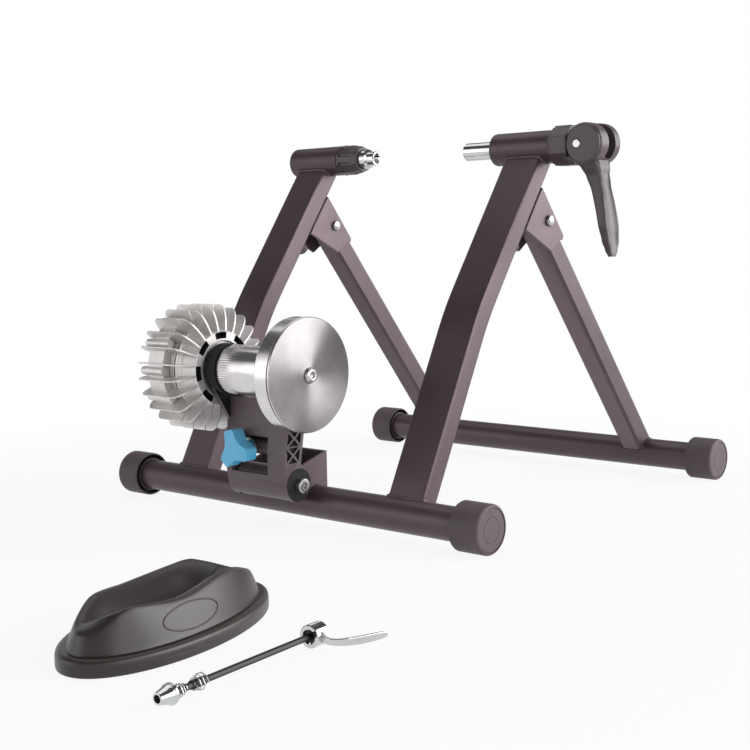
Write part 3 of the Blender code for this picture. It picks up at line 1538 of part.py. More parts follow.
def riser_block(carrier):
    length = BLOCK_LENGTH
    width = BLOCK_WIDTH
    body_length = length - 2 * BLOCK_LEDGE
    body_width = width - 2 * BLOCK_LEDGE
    crest_length = body_length - 2 * BLOCK_DRAFT
    crest_width = body_width - 2 * BLOCK_DRAFT
    groove_width = crest_width - 2 * BLOCK_CREST_WIDTH

    def crest(along, across):
        return block_crest(along / (body_length / 2))

    def groove(along, across):
        top = block_crest(along / (body_length / 2))
        floor = BLOCK_GROOVE_FLOOR + 0.004 * (along / (body_length / 2)) ** 2
        side = min(abs(across) / (groove_width / 2), 1)
        return floor + (top - 0.001 - floor) * side**2.2

    def lowered(drop):
        return lambda along, across: crest(along, across) - drop

    inner = crest_length - 2 * BLOCK_CREST_WIDTH
    recess = BLOCK_RIM - BLOCK_WALL
    edge = 0.0025
    outside = [
        block_ring(length - 6 * BLOCK_WALL, width - 6 * BLOCK_WALL, recess),
        block_ring(length - 2 * BLOCK_WALL, width - 2 * BLOCK_WALL, recess),
        block_ring(length - 2 * BLOCK_WALL, width - 2 * BLOCK_WALL, 0),
        block_ring(length, width, 0),
        block_ring(length, width, BLOCK_RIM - edge),
        block_ring(length - edge, width - edge, BLOCK_RIM - edge * 0.3),
        block_ring(length - 2.4 * edge, width - 2.4 * edge, BLOCK_RIM),
        block_ring(body_length, body_width, BLOCK_RIM),
        block_ring(body_length - BLOCK_DRAFT, body_width - BLOCK_DRAFT, lowered(0.009)),
        block_ring(crest_length + edge, crest_width + edge, lowered(0.0016)),
        block_ring(crest_length, crest_width, crest),
        block_ring(crest_length - BLOCK_CREST_WIDTH, crest_width - BLOCK_CREST_WIDTH, crest),
        block_ring(inner, groove_width, groove),
        block_ring(inner * 0.86, groove_width * 0.84, groove),
        block_ring(inner * 0.68, groove_width * 0.62, groove),
        block_ring(inner * 0.42, groove_width * 0.36, groove),
        block_ring(inner * 0.14, groove_width * 0.12, groove),
    ]
    mesh = lofted(outside)
    mesh.transform(Matrix.Rotation(math.radians(BLOCK_TURN), 4, "Z"))
    mesh.transform(Matrix.Translation((BLOCK_X, BLOCK_Y, 0)))
    return part("riser_block", mesh, block_plastic, carrier, (BLOCK_X, BLOCK_Y, 0))


# Spare skewer. Its pieces are made along Y from the nut's tip and turned into place.


def laid(mesh):
    mesh.transform(Matrix.Rotation(math.radians(SKEWER_TURN), 4, "Z"))
    mesh.transform(Matrix.Translation((SKEWER_X, SKEWER_Y, SKEWER_Z)))
    return mesh


def laid_point(x, y, z=0.0):
    turn = Matrix.Rotation(math.radians(SKEWER_TURN), 3, "Z")
    return turn @ Vector((x, y, z)) + Vector((SKEWER_X, SKEWER_Y, SKEWER_Z))


def skewer_rod(carrier):
    # A thin rod with a head at the lever's end and a ribbed sleeve near the nut
    housing = SKEWER_LENGTH - SKEWER_HOUSING_LENGTH
    head_r = 0.0048
    profile = [
        (0, housing + 0.0045),
        (head_r, housing + 0.0045),
        (head_r, housing + 0.0015),
        (SKEWER_ROD_R, housing + 0.0015),
    ]
    ribs = 4
    pitch = SKEWER_SLEEVE_LENGTH / ribs
    groove_r = SKEWER_SLEEVE_R - 0.0005
    start = SKEWER_NUT_LENGTH + SKEWER_SLEEVE_START
    profile += [(SKEWER_ROD_R, start + ribs * pitch)]
    for i in reversed(range(ribs)):
        base = start + i * pitch
        profile += [
            (SKEWER_SLEEVE_R, base + pitch * 0.85),
            (SKEWER_SLEEVE_R, base + pitch * 0.35),
            (groove_r, base + pitch * 0.1),
        ]
    profile += [(SKEWER_ROD_R, start), (SKEWER_ROD_R, 0.003), (0, 0.003)]
    mesh = laid(turned_on("Y", (0, 0, 0), profile, 8))
    return part("skewer_rod", mesh, black_steel, carrier, laid_point(0, 0))


def skewer_nut(carrier):
    length = SKEWER_NUT_LENGTH
    bore = SKEWER_ROD_R + GAP
    profile = [
        (SKEWER_NUT_R - 0.0018, length),
        (SKEWER_NUT_R, length - 0.0022),
        (SKEWER_NUT_R, length - 0.0048),
        (SKEWER_NUT_TIP_R, 0.0006),
        (SKEWER_NUT_TIP_R - 0.0006, 0),
        (bore, 0),
        (bore, length),
    ]
    mesh = laid(turned_on("Y", (0, 0, 0), profile, 16, hollow=True))
    return part("skewer_nut", mesh, chrome, carrier)


def skewer_housing(carrier):
    # A cup over the rod's head, slotted for the lever's eye
    start = SKEWER_LENGTH - SKEWER_HOUSING_LENGTH
    radius = SKEWER_HOUSING_R
    profile = [
        (0, SKEWER_LENGTH),
        (radius - 0.0012, SKEWER_LENGTH),
        (radius, SKEWER_LENGTH - 0.0012),
        (radius, start + 0.0006),
        (radius - 0.0006, start),
        (0.0056, start),
        (0.0056, start + 0.0052),
        (0, start + 0.0052),
    ]
    mesh = turned_on("Y", (0, 0, 0), profile, 16)
    half = SKEWER_EYE_HEIGHT / 2 + GAP
    eye_y = skewer_eye_y()
    slot = box(
        (-SKEWER_EYE_R - FREE, eye_y - SKEWER_EYE_R - FREE, -half),
        (0.02, SKEWER_LENGTH + 0.01, half),
    )
    pin = cylinder("Z", (0, eye_y, 0), 0.0022 + GAP, -0.0068, 0.0068, 12)
    mesh = laid(cut(mesh, slot, pin))
    return part("skewer_housing", mesh, chrome, carrier, laid_point(0, start))


def skewer_eye_y():
    start = SKEWER_LENGTH - SKEWER_HOUSING_LENGTH
    return start + 0.0052 + GAP + FREE + SKEWER_EYE_R * 0.72


def skewer_lever(carrier):
    # An eye on short trunnions, and a thin curved blade that sweeps away from the rod
    eye = Vector((0, skewer_eye_y(), 0))
    half = SKEWER_EYE_HEIGHT / 2
    mesh = cylinder("Z", eye, SKEWER_EYE_R * 0.72, -half, half, 20)
    trunnions = cylinder("Z", eye, 0.0022, -half - 0.0030, half + 0.0030, 12)
    route = [
        (0.0020, -0.0010, 0.0042, 0.0030),
        (0.0090, -0.0030, 0.0036, 0.0032),
        (0.0170, -0.0020, 0.0026, 0.0040),
        (0.0250, 0.0045, 0.0024, 0.0046),
        (0.0320, 0.0140, 0.0024, 0.0048),
        (0.0380, 0.0250, 0.0022, 0.0046),
        (0.0425, 0.0350, 0.0018, 0.0040),
    ]
    rings = []
    for i, (x, y, thick, tall) in enumerate(route):
        before = Vector(route[max(i - 1, 0)][:2])
        after = Vector(route[min(i + 1, len(route) - 1)][:2])
        along = (after - before).normalized()
        across = Vector((along.y, -along.x, 0))
        centre = eye + Vector((x, y, 0))
        outline = rounded_rectangle(thick, 2 * tall, thick * 0.3, 2)
        rings.append([centre + across * u + Vector((0, 0, v)) for u, v in outline])
    mesh = laid(joined(mesh, trunnions, lofted(rings)))
    return part("skewer_lever", mesh, chrome, carrier)


def skewer_spring(name, start, first, last, carrier):
    # A conical spring round the rod, from one mean radius to the other
    end = start + SKEWER_SPRING_LENGTH
    shape = (SKEWER_WIRE_R, start, end, SKEWER_SPRING_TURNS, 8)
    mesh = wound(name, "Y", (0, 0, 0), first, last, *shape)
    return part(name, laid(mesh), bright_steel, carrier, laid_point(0, start))


def settle(root):
    # Move the whole set so that the middle of its footprint is the origin
    bpy.context.view_layer.update()
    corners = [
        piece.matrix_world @ vertex.co
        for piece in pieces.objects
        if piece.type == "MESH"
        for vertex in piece.data.vertices
    ]
    low = [min(corner[i] for corner in corners) for i in range(3)]
    high = [max(corner[i] for corner in corners) for i in range(3)]
    root.location = (-(low[0] + high[0]) / 2, -(low[1] + high[1]) / 2, -low[2])
    bpy.context.view_layer.update()
    print("shift", [round(value, 6) for value in root.location])
    print("size", [round(high[i] - low[i], 6) for i in range(3)])


for old in list(bpy.data.objects):
    bpy.data.objects.remove(old, do_unlink=True)

pieces = collection("bike_trainer")
cutters = collection("cutters")
places = {}

powder_coat = material("powder_coat", (0.045, 0.032, 0.033), 0.45, 0.2)
foot_rubber = material("foot_rubber", (0.035, 0.028, 0.028), 0.6)
black_plastic = material("black_plastic", (0.018, 0.016, 0.016), 0.45)
arm_plastic = material("arm_plastic", (0.030, 0.026, 0.026), 0.5)
block_plastic = material("block_plastic", (0.045, 0.036, 0.035), 0.4)
black_rubber = material("black_rubber", (0.015, 0.015, 0.015), 0.8)
black_steel = material("black_steel", (0.03, 0.03, 0.032), 0.4, 0.8)
blue_plastic = material("blue_plastic", (0.05, 0.42, 0.85), 0.35)
white_nylon = material("white_nylon", (0.85, 0.85, 0.83), 0.5)
bright_steel = material("bright_steel", (0.72, 0.71, 0.70), 0.3, 1.0)
polished_steel = material("polished_steel", (0.80, 0.79, 0.78), 0.18, 1.0)
chrome = material("chrome", (0.85, 0.86, 0.87), 0.08, 1.0)
cast_aluminium = material("cast_aluminium", (0.62, 0.60, 0.58), 0.55, 0.9)
matt_aluminium = material("matt_aluminium", (0.60, 0.60, 0.60), 0.5, 0.9)

trainer = body("trainer", (0, 0, 0))
main_frame = body("main_frame", (0, 0, TUBE_Z), trainer)
folding_stand = body("folding_stand", HINGE, main_frame)
spindle_body = body("clamp_slide", (0, AXLE_Y, AXLE_Z), main_frame)
lever_body = body("lever_turn", (PIN_X, AXLE_Y, AXLE_Z), spindle_body)
collar_body = body("collar_turn", (-SLEEVE_INNER_X, AXLE_Y, AXLE_Z), main_frame)
cup_body = body("cup_slide", (-CUP_TIP_X, AXLE_Y, AXLE_Z), main_frame)
unit_body = body("resistance_unit", PIVOT, main_frame)
drive_body = body("drive_turn", UNIT, unit_body)
washer_body = body("washer_slide", (STUD_X, BAR_Y - BAR_R, STUD_Z), main_frame)
knob_body = body("knob_turn", (STUD_X, BAR_Y - BAR_R, STUD_Z), washer_body)
nut_body = body("skewer_nut_turn", laid_point(0, 0), main_frame)
blade_body = body("skewer_lever_turn", laid_point(0, skewer_eye_y()), main_frame)

near_axis = (0, 0, TUBE_Z)
base_tube("near_base_tube", near_axis, NEAR_SPAN, main_frame)
base_tube("far_base_tube", FAR_AXIS, FAR_SPAN, folding_stand)
for word, side in SIDES:
    foot(f"near_{word}_foot", near_axis, NEAR_SPAN, side, main_frame)
    foot(f"far_{word}_foot", FAR_AXIS, FAR_SPAN, side, folding_stand)
    leg(f"{word}_leg", side, main_frame)
    leg_plug(f"{word}_leg_plug", side, main_frame)
    hinge_bracket(f"{word}_hinge_bracket", side, main_frame)
    strut(f"{word}_strut", side, folding_stand)
    hinge_bolt(f"{word}_hinge_bolt", side, main_frame)
    hinge_nut(f"{word}_hinge_nut", side, main_frame)
    fold_buffer(f"{word}_fold_buffer", side, main_frame)
sleeve("left_axle_sleeve", -1, CUP_BOLT_R + GAP, main_frame)
sleeve("right_axle_sleeve", 1, SPINDLE_R + GAP, main_frame)

clamp_spindle(spindle_body)
cam_housing(main_frame)
cam_lever(lever_body)
cam_pin(spindle_body)
clamp_spring(main_frame)
lock_collar(collar_body)
cup_bolt(cup_body)

unit_bracket(main_frame)
tension_bolt(main_frame)
tension_spring(main_frame)
knob_washer(washer_body)
tension_knob(knob_body)
unit_arm(unit_body)
pivot_bolt(main_frame)
pivot_nut(main_frame)
pivot_washer(main_frame)
fluid_housing_inner(unit_body)
fluid_housing_outer(unit_body)
housing_gasket(unit_body)
shaft_seal(unit_body)
bearing("inner_bearing", FLANGE_LEFT_X + GAP, unit_body)
bearing("outer_bearing", CHAMBER_LEFT_X - BEARING_WIDTH, unit_body)
impeller(drive_body)
drive_shaft(drive_body)
roller(drive_body)
flywheel(drive_body)
flywheel_screw(drive_body)

riser_block(main_frame)
skewer_rod(main_frame)
skewer_housing(main_frame)
skewer_nut(nut_body)
skewer_lever(blade_body)
spring_start = SKEWER_NUT_LENGTH + GAP
round_rod = SKEWER_ROD_R + GAP + SKEWER_WIRE_R
round_sleeve = SKEWER_SLEEVE_R + GAP + SKEWER_WIRE_R
skewer_spring("skewer_spring_near", spring_start, SKEWER_SPRING_R * 0.85, round_rod, main_frame)
spring_start += SKEWER_SLEEVE_START + (SKEWER_SLEEVE_LENGTH - SKEWER_SPRING_LENGTH) / 2
skewer_spring("skewer_spring_far", spring_start, round_sleeve, SKEWER_SPRING_R, main_frame)

settle(trainer)
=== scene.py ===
from math import cos, hypot, pi, radians, sin, sqrt
import bmesh
import bpy
from mathutils import Matrix, Vector
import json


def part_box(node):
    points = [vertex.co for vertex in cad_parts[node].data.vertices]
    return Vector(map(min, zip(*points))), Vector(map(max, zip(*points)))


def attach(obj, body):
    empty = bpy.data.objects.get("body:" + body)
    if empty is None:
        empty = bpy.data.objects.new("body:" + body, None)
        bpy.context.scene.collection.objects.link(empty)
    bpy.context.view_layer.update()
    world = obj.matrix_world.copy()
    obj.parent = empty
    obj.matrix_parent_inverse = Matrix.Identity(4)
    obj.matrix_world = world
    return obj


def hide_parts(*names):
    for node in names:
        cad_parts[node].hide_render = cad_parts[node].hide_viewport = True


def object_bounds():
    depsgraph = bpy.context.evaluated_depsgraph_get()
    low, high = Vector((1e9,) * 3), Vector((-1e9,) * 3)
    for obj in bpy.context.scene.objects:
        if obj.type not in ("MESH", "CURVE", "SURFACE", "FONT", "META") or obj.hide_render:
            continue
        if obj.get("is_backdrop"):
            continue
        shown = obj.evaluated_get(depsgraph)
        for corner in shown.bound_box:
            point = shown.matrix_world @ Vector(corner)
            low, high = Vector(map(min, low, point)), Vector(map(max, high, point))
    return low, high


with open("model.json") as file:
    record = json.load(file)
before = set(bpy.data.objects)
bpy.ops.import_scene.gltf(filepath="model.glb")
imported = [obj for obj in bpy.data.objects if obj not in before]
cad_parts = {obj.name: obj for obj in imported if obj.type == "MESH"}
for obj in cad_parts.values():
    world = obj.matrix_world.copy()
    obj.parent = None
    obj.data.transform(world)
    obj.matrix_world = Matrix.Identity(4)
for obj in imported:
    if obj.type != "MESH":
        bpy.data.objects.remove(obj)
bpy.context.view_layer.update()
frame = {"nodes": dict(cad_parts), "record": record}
print("frame loaded")

# Places are in metres from the middle of the near base tube: x to the right, y to the rear, z up from the floor
nearLow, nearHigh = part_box("near_base_tube")
middle = (nearLow + nearHigh) / 2
axle = Vector((0, 0.2117, 0.3715))  # where the bike's rear axle is held
hinge = Vector((0, 0.2143, 0.2969))  # the rear stand's bolts
farAxis = Vector((0, 0.437, 0.0235))  # the far base tube's line; the near one lies as high
unit = {"y": -0.048, "z": 0.1567}  # the line of the flywheel, roller and casing


def at(x=0.0, y=0.0, z=0.0):
    # Such a place in the frame's own coordinates
    return Vector((middle.x + x, middle.y + y, z))


def placed(name, data):
    # A new object in the scene
    made = bpy.data.objects.new(name, data)
    bpy.context.scene.collection.objects.link(made)
    return made


# Camera, fitted to the photograph's parallel tubes
camera = {"x": 0.9178, "y": -0.9223, "z": 0.2895, "turn": 41.01, "tilt": 6.30, "roll": -1.10, "lens": 62.5}
turn, tilt, roll = (radians(camera[key]) for key in ("turn", "tilt", "roll"))
forward = Vector((-sin(turn) * cos(tilt), cos(turn) * cos(tilt), -sin(tilt)))
sideways = Vector((cos(turn), sin(turn), 0))
upwards = sideways.cross(forward)
basis = Matrix((sideways * cos(roll) + upwards * sin(roll),
                upwards * cos(roll) - sideways * sin(roll), -forward)).transposed()
cameraData = bpy.data.cameras.new("camera")
cameraData.lens = camera["lens"]
cameraData.sensor_width = 36
cameraData.clip_start = 0.01
cameraObject = placed("camera", cameraData)
cameraObject.matrix_world = Matrix.Translation(at(camera["x"], camera["y"], camera["z"])) @ basis.to_4x4()
bpy.context.scene.camera = cameraObject


# Materials


def linear(text):
    # An sRGB hex colour as linear light
    channels = [int(text[i : i + 2], 16) / 255 for i in (1, 3, 5)]
    return (*[c / 12.92 if c <= 0.04045 else ((c + 0.055) / 1.055) ** 2.4 for c in channels], 1)


def addNode(tree, kind, settings=None, values=None, links=None):
    made = tree.nodes.new(kind)
    for name, value in (settings or {}).items():
        setattr(made, name, value)
    for socket, value in (values or {}).items():
        made.inputs[socket].default_value = value
    for socket, source in (links or {}).items():
        tree.links.new(source, made.inputs[socket])
    return made


def surface(name, colours, grain, bump, roughness, cloud, edge=None, depth=0.0001, metallic=0.0, specular=0.5):
    # Two colours mixed by a soft cloud, grain in the bump, and a roughness that wanders a little
    made = bpy.data.materials.new(name)
    made.use_nodes = True
    tree = made.node_tree
    shader = tree.nodes["Principled BSDF"]
    shader.inputs["Metallic"].default_value = metallic
    shader.inputs["Specular IOR Level"].default_value = specular
    place = addNode(tree, "ShaderNodeTexCoord").outputs["Object"]
    clouds = addNode(tree, "ShaderNodeTexNoise", values={"Scale": 1 / cloud, "Detail": 3.0, "Roughness": 0.55},
                     links={"Vector": place}).outputs["Fac"]
    spread = addNode(tree, "ShaderNodeMapRange", values={"From Min": 0.35, "From Max": 0.65}, links={"Value": clouds})
    mixed = addNode(tree, "ShaderNodeMix", {"data_type": "RGBA"}, {"A": linear(colours[0]), "B": linear(colours[1])},
                    {"Factor": spread.outputs["Result"]})
    rough = addNode(tree, "ShaderNodeMapRange", values={"To Min": roughness[0], "To Max": roughness[1]},
                    links={"Value": clouds})
    tree.links.new(rough.outputs["Result"], shader.inputs["Roughness"])
    grains = addNode(tree, "ShaderNodeTexNoise", values={"Scale": 1 / grain}, links={"Vector": place})
    relief = addNode(tree, "ShaderNodeBump", values={"Strength": bump, "Distance": depth},
                     links={"Height": grains.outputs["Fac"]})
    tree.links.new(relief.outputs["Normal"], shader.inputs["Normal"])
    if edge:
        # Edges rub and thin out, so they catch a paler line
        shape = addNode(tree, "ShaderNodeNewGeometry")
        worn = addNode(tree, "ShaderNodeMapRange", values={"From Min": 0.52, "From Max": 0.62, "To Max": 0.6},
                       links={"Value": shape.outputs["Pointiness"]})
        mixed = addNode(tree, "ShaderNodeMix", {"data_type": "RGBA"}, {"B": linear(edge)},
                        {"Factor": worn.outputs["Result"], "A": mixed.outputs["Result"]})
    tree.links.new(mixed.outputs["Result"], shader.inputs["Base Color"])
    made.diffuse_color = linear(colours[0])
    return made


# Real grain on these parts is 0.1 to 0.3 mm, too fine to show from here, so it is drawn at 0.6 mm or more

# Satin powder coat, sprayed and baked: fine orange peel, and a brown-mauve cast where light rakes over it
powderCoat = surface("satinPowderCoat", ("#4b3f43", "#53464a"), grain=0.0011, bump=0.10, roughness=(0.36, 0.43),
                     cloud=0.05, edge="#7c6b73", metallic=0.45, specular=0.4)
# Moulded rubber of the feet: dull and slightly mottled
footRubber = surface("mouldedRubber", ("#54494c", "#5e5256"), grain=0.0009, bump=0.25, roughness=(0.52, 0.62),
                     cloud=0.02, edge="#4d4448", depth=0.00012, specular=0.4)
# Glass-filled nylon, moulded: dark, with a fine spark-eroded grain
mouldedNylon = surface("glassFilledNylon", ("#42373a", "#4c4043"), grain=0.0008, bump=0.18, roughness=(0.34, 0.44),
                       cloud=0.02, edge="#5a4f54")
# Moulded ABS of the unit's arm: a broad satin sheen, with paler edges
armPlastic = surface("armMoulding", ("#453a3d", "#504346"), grain=0.0009, bump=0.15, roughness=(0.36, 0.48),
                     cloud=0.03, edge="#6a5b60")
# Blow-moulded polyethylene of the block: waxy, with long soft highlights along the crests
blockPlastic = surface("blowMouldedBlock", ("#261f1e", "#2e2524"), grain=0.0013, bump=0.10, roughness=(0.33, 0.42),
                       cloud=0.04, edge="#544845")
# Blue moulded polypropylene of the knob: the one bright colour, smooth and even
bluePlastic = surface("blueKnobPlastic", ("#62cdff", "#70d7ff"), grain=0.0010, bump=0.08, roughness=(0.28, 0.36),
                      cloud=0.01, edge="#7fd0ff")
# Die-cast aluminium, left bare: pale, with a sandy skin that breaks reflections up
castAluminium = surface("castAluminium", ("#d4d1d0", "#e2dfde"), grain=0.0007, bump=0.35, roughness=(0.38, 0.52),
                        cloud=0.012, edge="#e8e5e4", depth=0.00015, metallic=0.7)
# Bright chrome plate: close to a mirror, with a slow waver from the polishing
chromePlate = surface("chromePlate", ("#c2c4c6", "#ccced0"), grain=0.004, bump=0.02, roughness=(0.06, 0.12),
                      cloud=0.01, metallic=1.0)
# Zinc plate on bolts and nuts: greyer than chrome, its reflections blurred
zincPlate = surface("zincPlate", ("#b0aeae", "#bfbdbc"), grain=0.0008, bump=0.10, roughness=(0.22, 0.34), cloud=0.006,
                    metallic=1.0)
# Turned and polished steel of shafts and pins: bright, a little soft
polishedSteel = surface("turnedSteel", ("#b4b1b1", "#bfbcbc"), grain=0.0006, bump=0.05, roughness=(0.16, 0.24),
                        cloud=0.02, metallic=1.0)
# Natural nylon of the washers: milky and matt
whiteNylon = surface("whiteNylon", ("#e9e7e2", "#f1efea"), grain=0.0010, bump=0.10, roughness=(0.40, 0.50),
                     cloud=0.01)
# Soft moulded rubber of seals and buffers: black, with hardly any shine
blackRubber = surface("softRubber", ("#161415", "#1d1a1b"), grain=0.0009, bump=0.2, roughness=(0.60, 0.72),
                      cloud=0.01)
# Black oxide on steel: near black, with a thin oily gleam
blackOxide = surface("blackOxideSteel", ("#121113", "#19181a"), grain=0.0007, bump=0.12, roughness=(0.36, 0.46),
                     cloud=0.01, metallic=0.3)
# Painted shade: flat black on faces deep in slots and hollows, where little light comes
slotShade = surface("paintedShadeBlack", ("#0c0b0b", "#121010"), grain=0.0008, bump=0.2, roughness=(0.70, 0.80),
                    cloud=0.01)

finishes = {
    "powder_coat": powderCoat, "foot_rubber": footRubber, "black_plastic": mouldedNylon, "arm_plastic": armPlastic,
    "block_plastic": blockPlastic, "black_rubber": blackRubber, "black_steel": blackOxide, "blue_plastic": bluePlastic,
    "white_nylon": whiteNylon, "bright_steel": zincPlate, "polished_steel": polishedSteel, "chrome": chromePlate,
    "cast_aluminium": castAluminium, "matt_aluminium": castAluminium,
}
bodyOf = {node: body for body, nodes in frame["record"]["behaviour"]["bodies"].items() for node in nodes}
slotOf = {}
for name, cadNode in frame["nodes"].items():
    slotOf[name] = cadNode.data.materials[0].name.split(".")[0]
    cadNode.data.materials.clear()
    cadNode.data.materials.append(finishes.get(slotOf[name], powderCoat))
print("materials made", sorted(set(slotOf.values())))


# Stage

studio = {"floorColour": "#e4e4e4", "floorHalf": 6, "floorDrop": 0.0004, "floorGlow": (0.90, 1.0), "fade": (0.45, 0.95),
          "fill": 0.24, "ceiling": 0.10, "ceilingRise": (0.22, 0.55)}
half, drop = studio["floorHalf"], studio["floorDrop"]
floorMesh = bpy.data.meshes.new("floor")
floorMesh.from_pydata([(-half, -half, -drop), (half, -half, -drop), (half, half, -drop), (-half, half, -drop)],
                      [], [(0, 1, 2, 3)])
floor = placed("floor", floorMesh)
floor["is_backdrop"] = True


def either(tree, one, two):
    return addNode(tree, "ShaderNodeMath", {"operation": "MAXIMUM"}, links={0: one, 1: two}).outputs[0]


# The floor is white where it is seen, directly or in a reflection, and keeps the object's shadow near it
floorMaterial = bpy.data.materials.new("paleFloor")
floorMaterial.use_nodes = True
tree = floorMaterial.node_tree
tree.nodes.clear()
matt = addNode(tree, "ShaderNodeBsdfDiffuse", values={"Color": linear(studio["floorColour"])})
glow = addNode(tree, "ShaderNodeEmission", values={"Color": (1, 1, 1, 1), "Strength": 1.0})
place = addNode(tree, "ShaderNodeTexCoord")
distance = addNode(tree, "ShaderNodeVectorMath", {"operation": "LENGTH"}, links={0: place.outputs["Object"]})
fade = addNode(tree, "ShaderNodeMapRange", {"interpolation_type": "SMOOTHSTEP"},
               {"From Min": studio["fade"][0], "From Max": studio["fade"][1],
                "To Min": studio["floorGlow"][0], "To Max": studio["floorGlow"][1]},
               {"Value": distance.outputs["Value"]})
path = addNode(tree, "ShaderNodeLightPath")
seen = either(tree, either(tree, path.outputs["Is Camera Ray"], path.outputs["Is Glossy Ray"]),
              path.outputs["Is Transmission Ray"])
share = addNode(tree, "ShaderNodeMath", {"operation": "MULTIPLY"}, links={0: seen, 1: fade.outputs["Result"]})
blend = addNode(tree, "ShaderNodeMixShader", links={0: share.outputs[0], 1: matt.outputs[0], 2: glow.outputs[0]})
addNode(tree, "ShaderNodeOutputMaterial", links={"Surface": blend.outputs[0]})
floorMesh.materials.append(floorMaterial)

# The world is white to the camera; reflections see it white at the horizon and grey overhead, as a dark ceiling
world = bpy.data.worlds.new("studio")
world.use_nodes = True
bpy.context.scene.world = world
tree = world.node_tree
tree.nodes.clear()
path = addNode(tree, "ShaderNodeLightPath")
direction = addNode(tree, "ShaderNodeTexCoord")
split = addNode(tree, "ShaderNodeSeparateXYZ", links={0: direction.outputs["Generated"]})
ceiling = addNode(tree, "ShaderNodeMapRange", {"interpolation_type": "SMOOTHSTEP"},
                  {"From Min": studio["ceilingRise"][0], "From Max": studio["ceilingRise"][1],
                   "To Min": 1.0, "To Max": studio["ceiling"]}, {"Value": split.outputs["Z"]})
mirrored = addNode(tree, "ShaderNodeMath", {"operation": "MULTIPLY"},
                   links={0: path.outputs["Is Glossy Ray"], 1: ceiling.outputs["Result"]})
through = either(tree, path.outputs["Is Camera Ray"], path.outputs["Is Transmission Ray"])
# Every other ray finds a grey that fills the shadows
level = addNode(tree, "ShaderNodeMix", {"data_type": "FLOAT"}, {"A": studio["fill"]},
                {"Factor": either(tree, through, path.outputs["Is Glossy Ray"]),
                 "B": either(tree, through, mirrored.outputs[0])})
sky = addNode(tree, "ShaderNodeBackground", values={"Color": (1, 1, 1, 1)}, links={"Strength": level.outputs["Result"]})
addNode(tree, "ShaderNodeOutputWorld", links={"Surface": sky.outputs[0]})

lamps = {
    "key": {"place": (2.6, 2.3, 1.2), "aim": (0.05, 0.15, 0.15), "size": 3.0, "power": 150},
    "right": {"place": (3.0, -0.2, 0.9), "aim": (0, 0.1, 0.15), "size": 2.0, "power": 30},
    "top": {"place": (-0.6, 0.6, 2.6), "aim": (0, 0.1, 0.0), "size": 2.4, "power": 22},
    "front": {"place": (-1.2, -2.4, 0.8), "aim": (0, 0.0, 0.1), "size": 2.0, "power": 14},
}
for name, lamp in lamps.items():
    data = bpy.data.lights.new(name, "AREA")
    data.size = lamp["size"]
    data.energy = lamp["power"]
    lampObject = placed(name, data)
    lampObject.location = at(*lamp["place"])
    lampObject.rotation_mode = "QUATERNION"
    lampObject.rotation_quaternion = (at(*lamp["place"]) - at(*lamp["aim"])).to_track_quat("Z", "Y")
bpy.context.scene.view_settings.view_transform = "Standard"
print("stage set")


# Shapes

onAxis = 1e-7  # a radius below this lies on the axis that a profile is turned round


def baked(piece):
    # The piece with its modifiers turned into a plain mesh
    mesh = bpy.data.meshes.new_from_object(piece.evaluated_get(bpy.context.evaluated_depsgraph_get()))
    piece.modifiers.clear()
    piece.data = mesh
    return piece


def built(name, points, faces):
    # A closed mesh from points and faces, its faces turned outwards
    work = bmesh.new()
    corners = [work.verts.new(point) for point in points]
    for face in faces:
        work.faces.new([corners[i] for i in face])
    bmesh.ops.remove_doubles(work, verts=work.verts, dist=1e-6)
    bmesh.ops.recalc_face_normals(work, faces=work.faces)
    mesh = bpy.data.meshes.new(name)
    work.to_mesh(mesh)
    work.free()
    return placed(name, mesh)


def loop(sides):
    # The angles of a full turn
    return [2 * pi * i / sides for i in range(sides)]


def lofted(name, rings, looped=False):
    # Rings of equal length joined in order, with caps, or with the last joined to the first
    count = len(rings[0])
    points = [point for ring in rings for point in ring]
    faces = []
    pairs = [(i, i + 1) for i in range(len(rings) - 1)] + ([(len(rings) - 1, 0)] if looped else [])
    for a, b in pairs:
        for i in range(count):
            j = (i + 1) % count
            faces.append((a * count + i, a * count + j, b * count + j, b * count + i))
    if not looped:
        faces += [tuple(range(count)), tuple(range(len(points) - count, len(points)))]
    return built(name, points, faces)


def spun(name, profile, centre, axis="X", sides=96, wave=None):
    # (radius, along) points turned round an axis through the centre; radius 0 closes the shape on the axis
    ways = {"X": ((0, 1, 0), (0, 0, 1), (1, 0, 0)), "Y": ((1, 0, 0), (0, 0, 1), (0, 1, 0)),
            "Z": ((1, 0, 0), (0, 1, 0), (0, 0, 1))}
    acrossOne, acrossTwo, alongWay = (Vector(way) for way in ways[axis])
    points, rows = [], []
    for radius, along in profile:
        start = len(points)
        if radius < onAxis:
            points.append(Vector(centre) + alongWay * along)
            rows.append([start] * sides)
            continue
        for angle in loop(sides):
            reach = radius + (wave(radius, along, angle) if wave else 0)
            points.append(Vector(centre) + alongWay * along + acrossOne * reach * cos(angle)
                          + acrossTwo * reach * sin(angle))
        rows.append(list(range(start, start + sides)))
    faces = []
    pairs = list(zip(rows, rows[1:])) + ([(rows[-1], rows[0])] if profile[0][0] > onAxis else [])
    for one, two in pairs:
        for i in range(sides):
            j = (i + 1) % sides
            face = list(dict.fromkeys((one[i], one[j], two[j], two[i])))
            if len(face) > 2:
                faces.append(face)
    return built(name, points, faces)


def curved(one, corner, two, t):
    # A place on the curve that rounds a corner from one to two
    return one * (1 - t) ** 2 + corner * 2 * t * (1 - t) + two * t**2


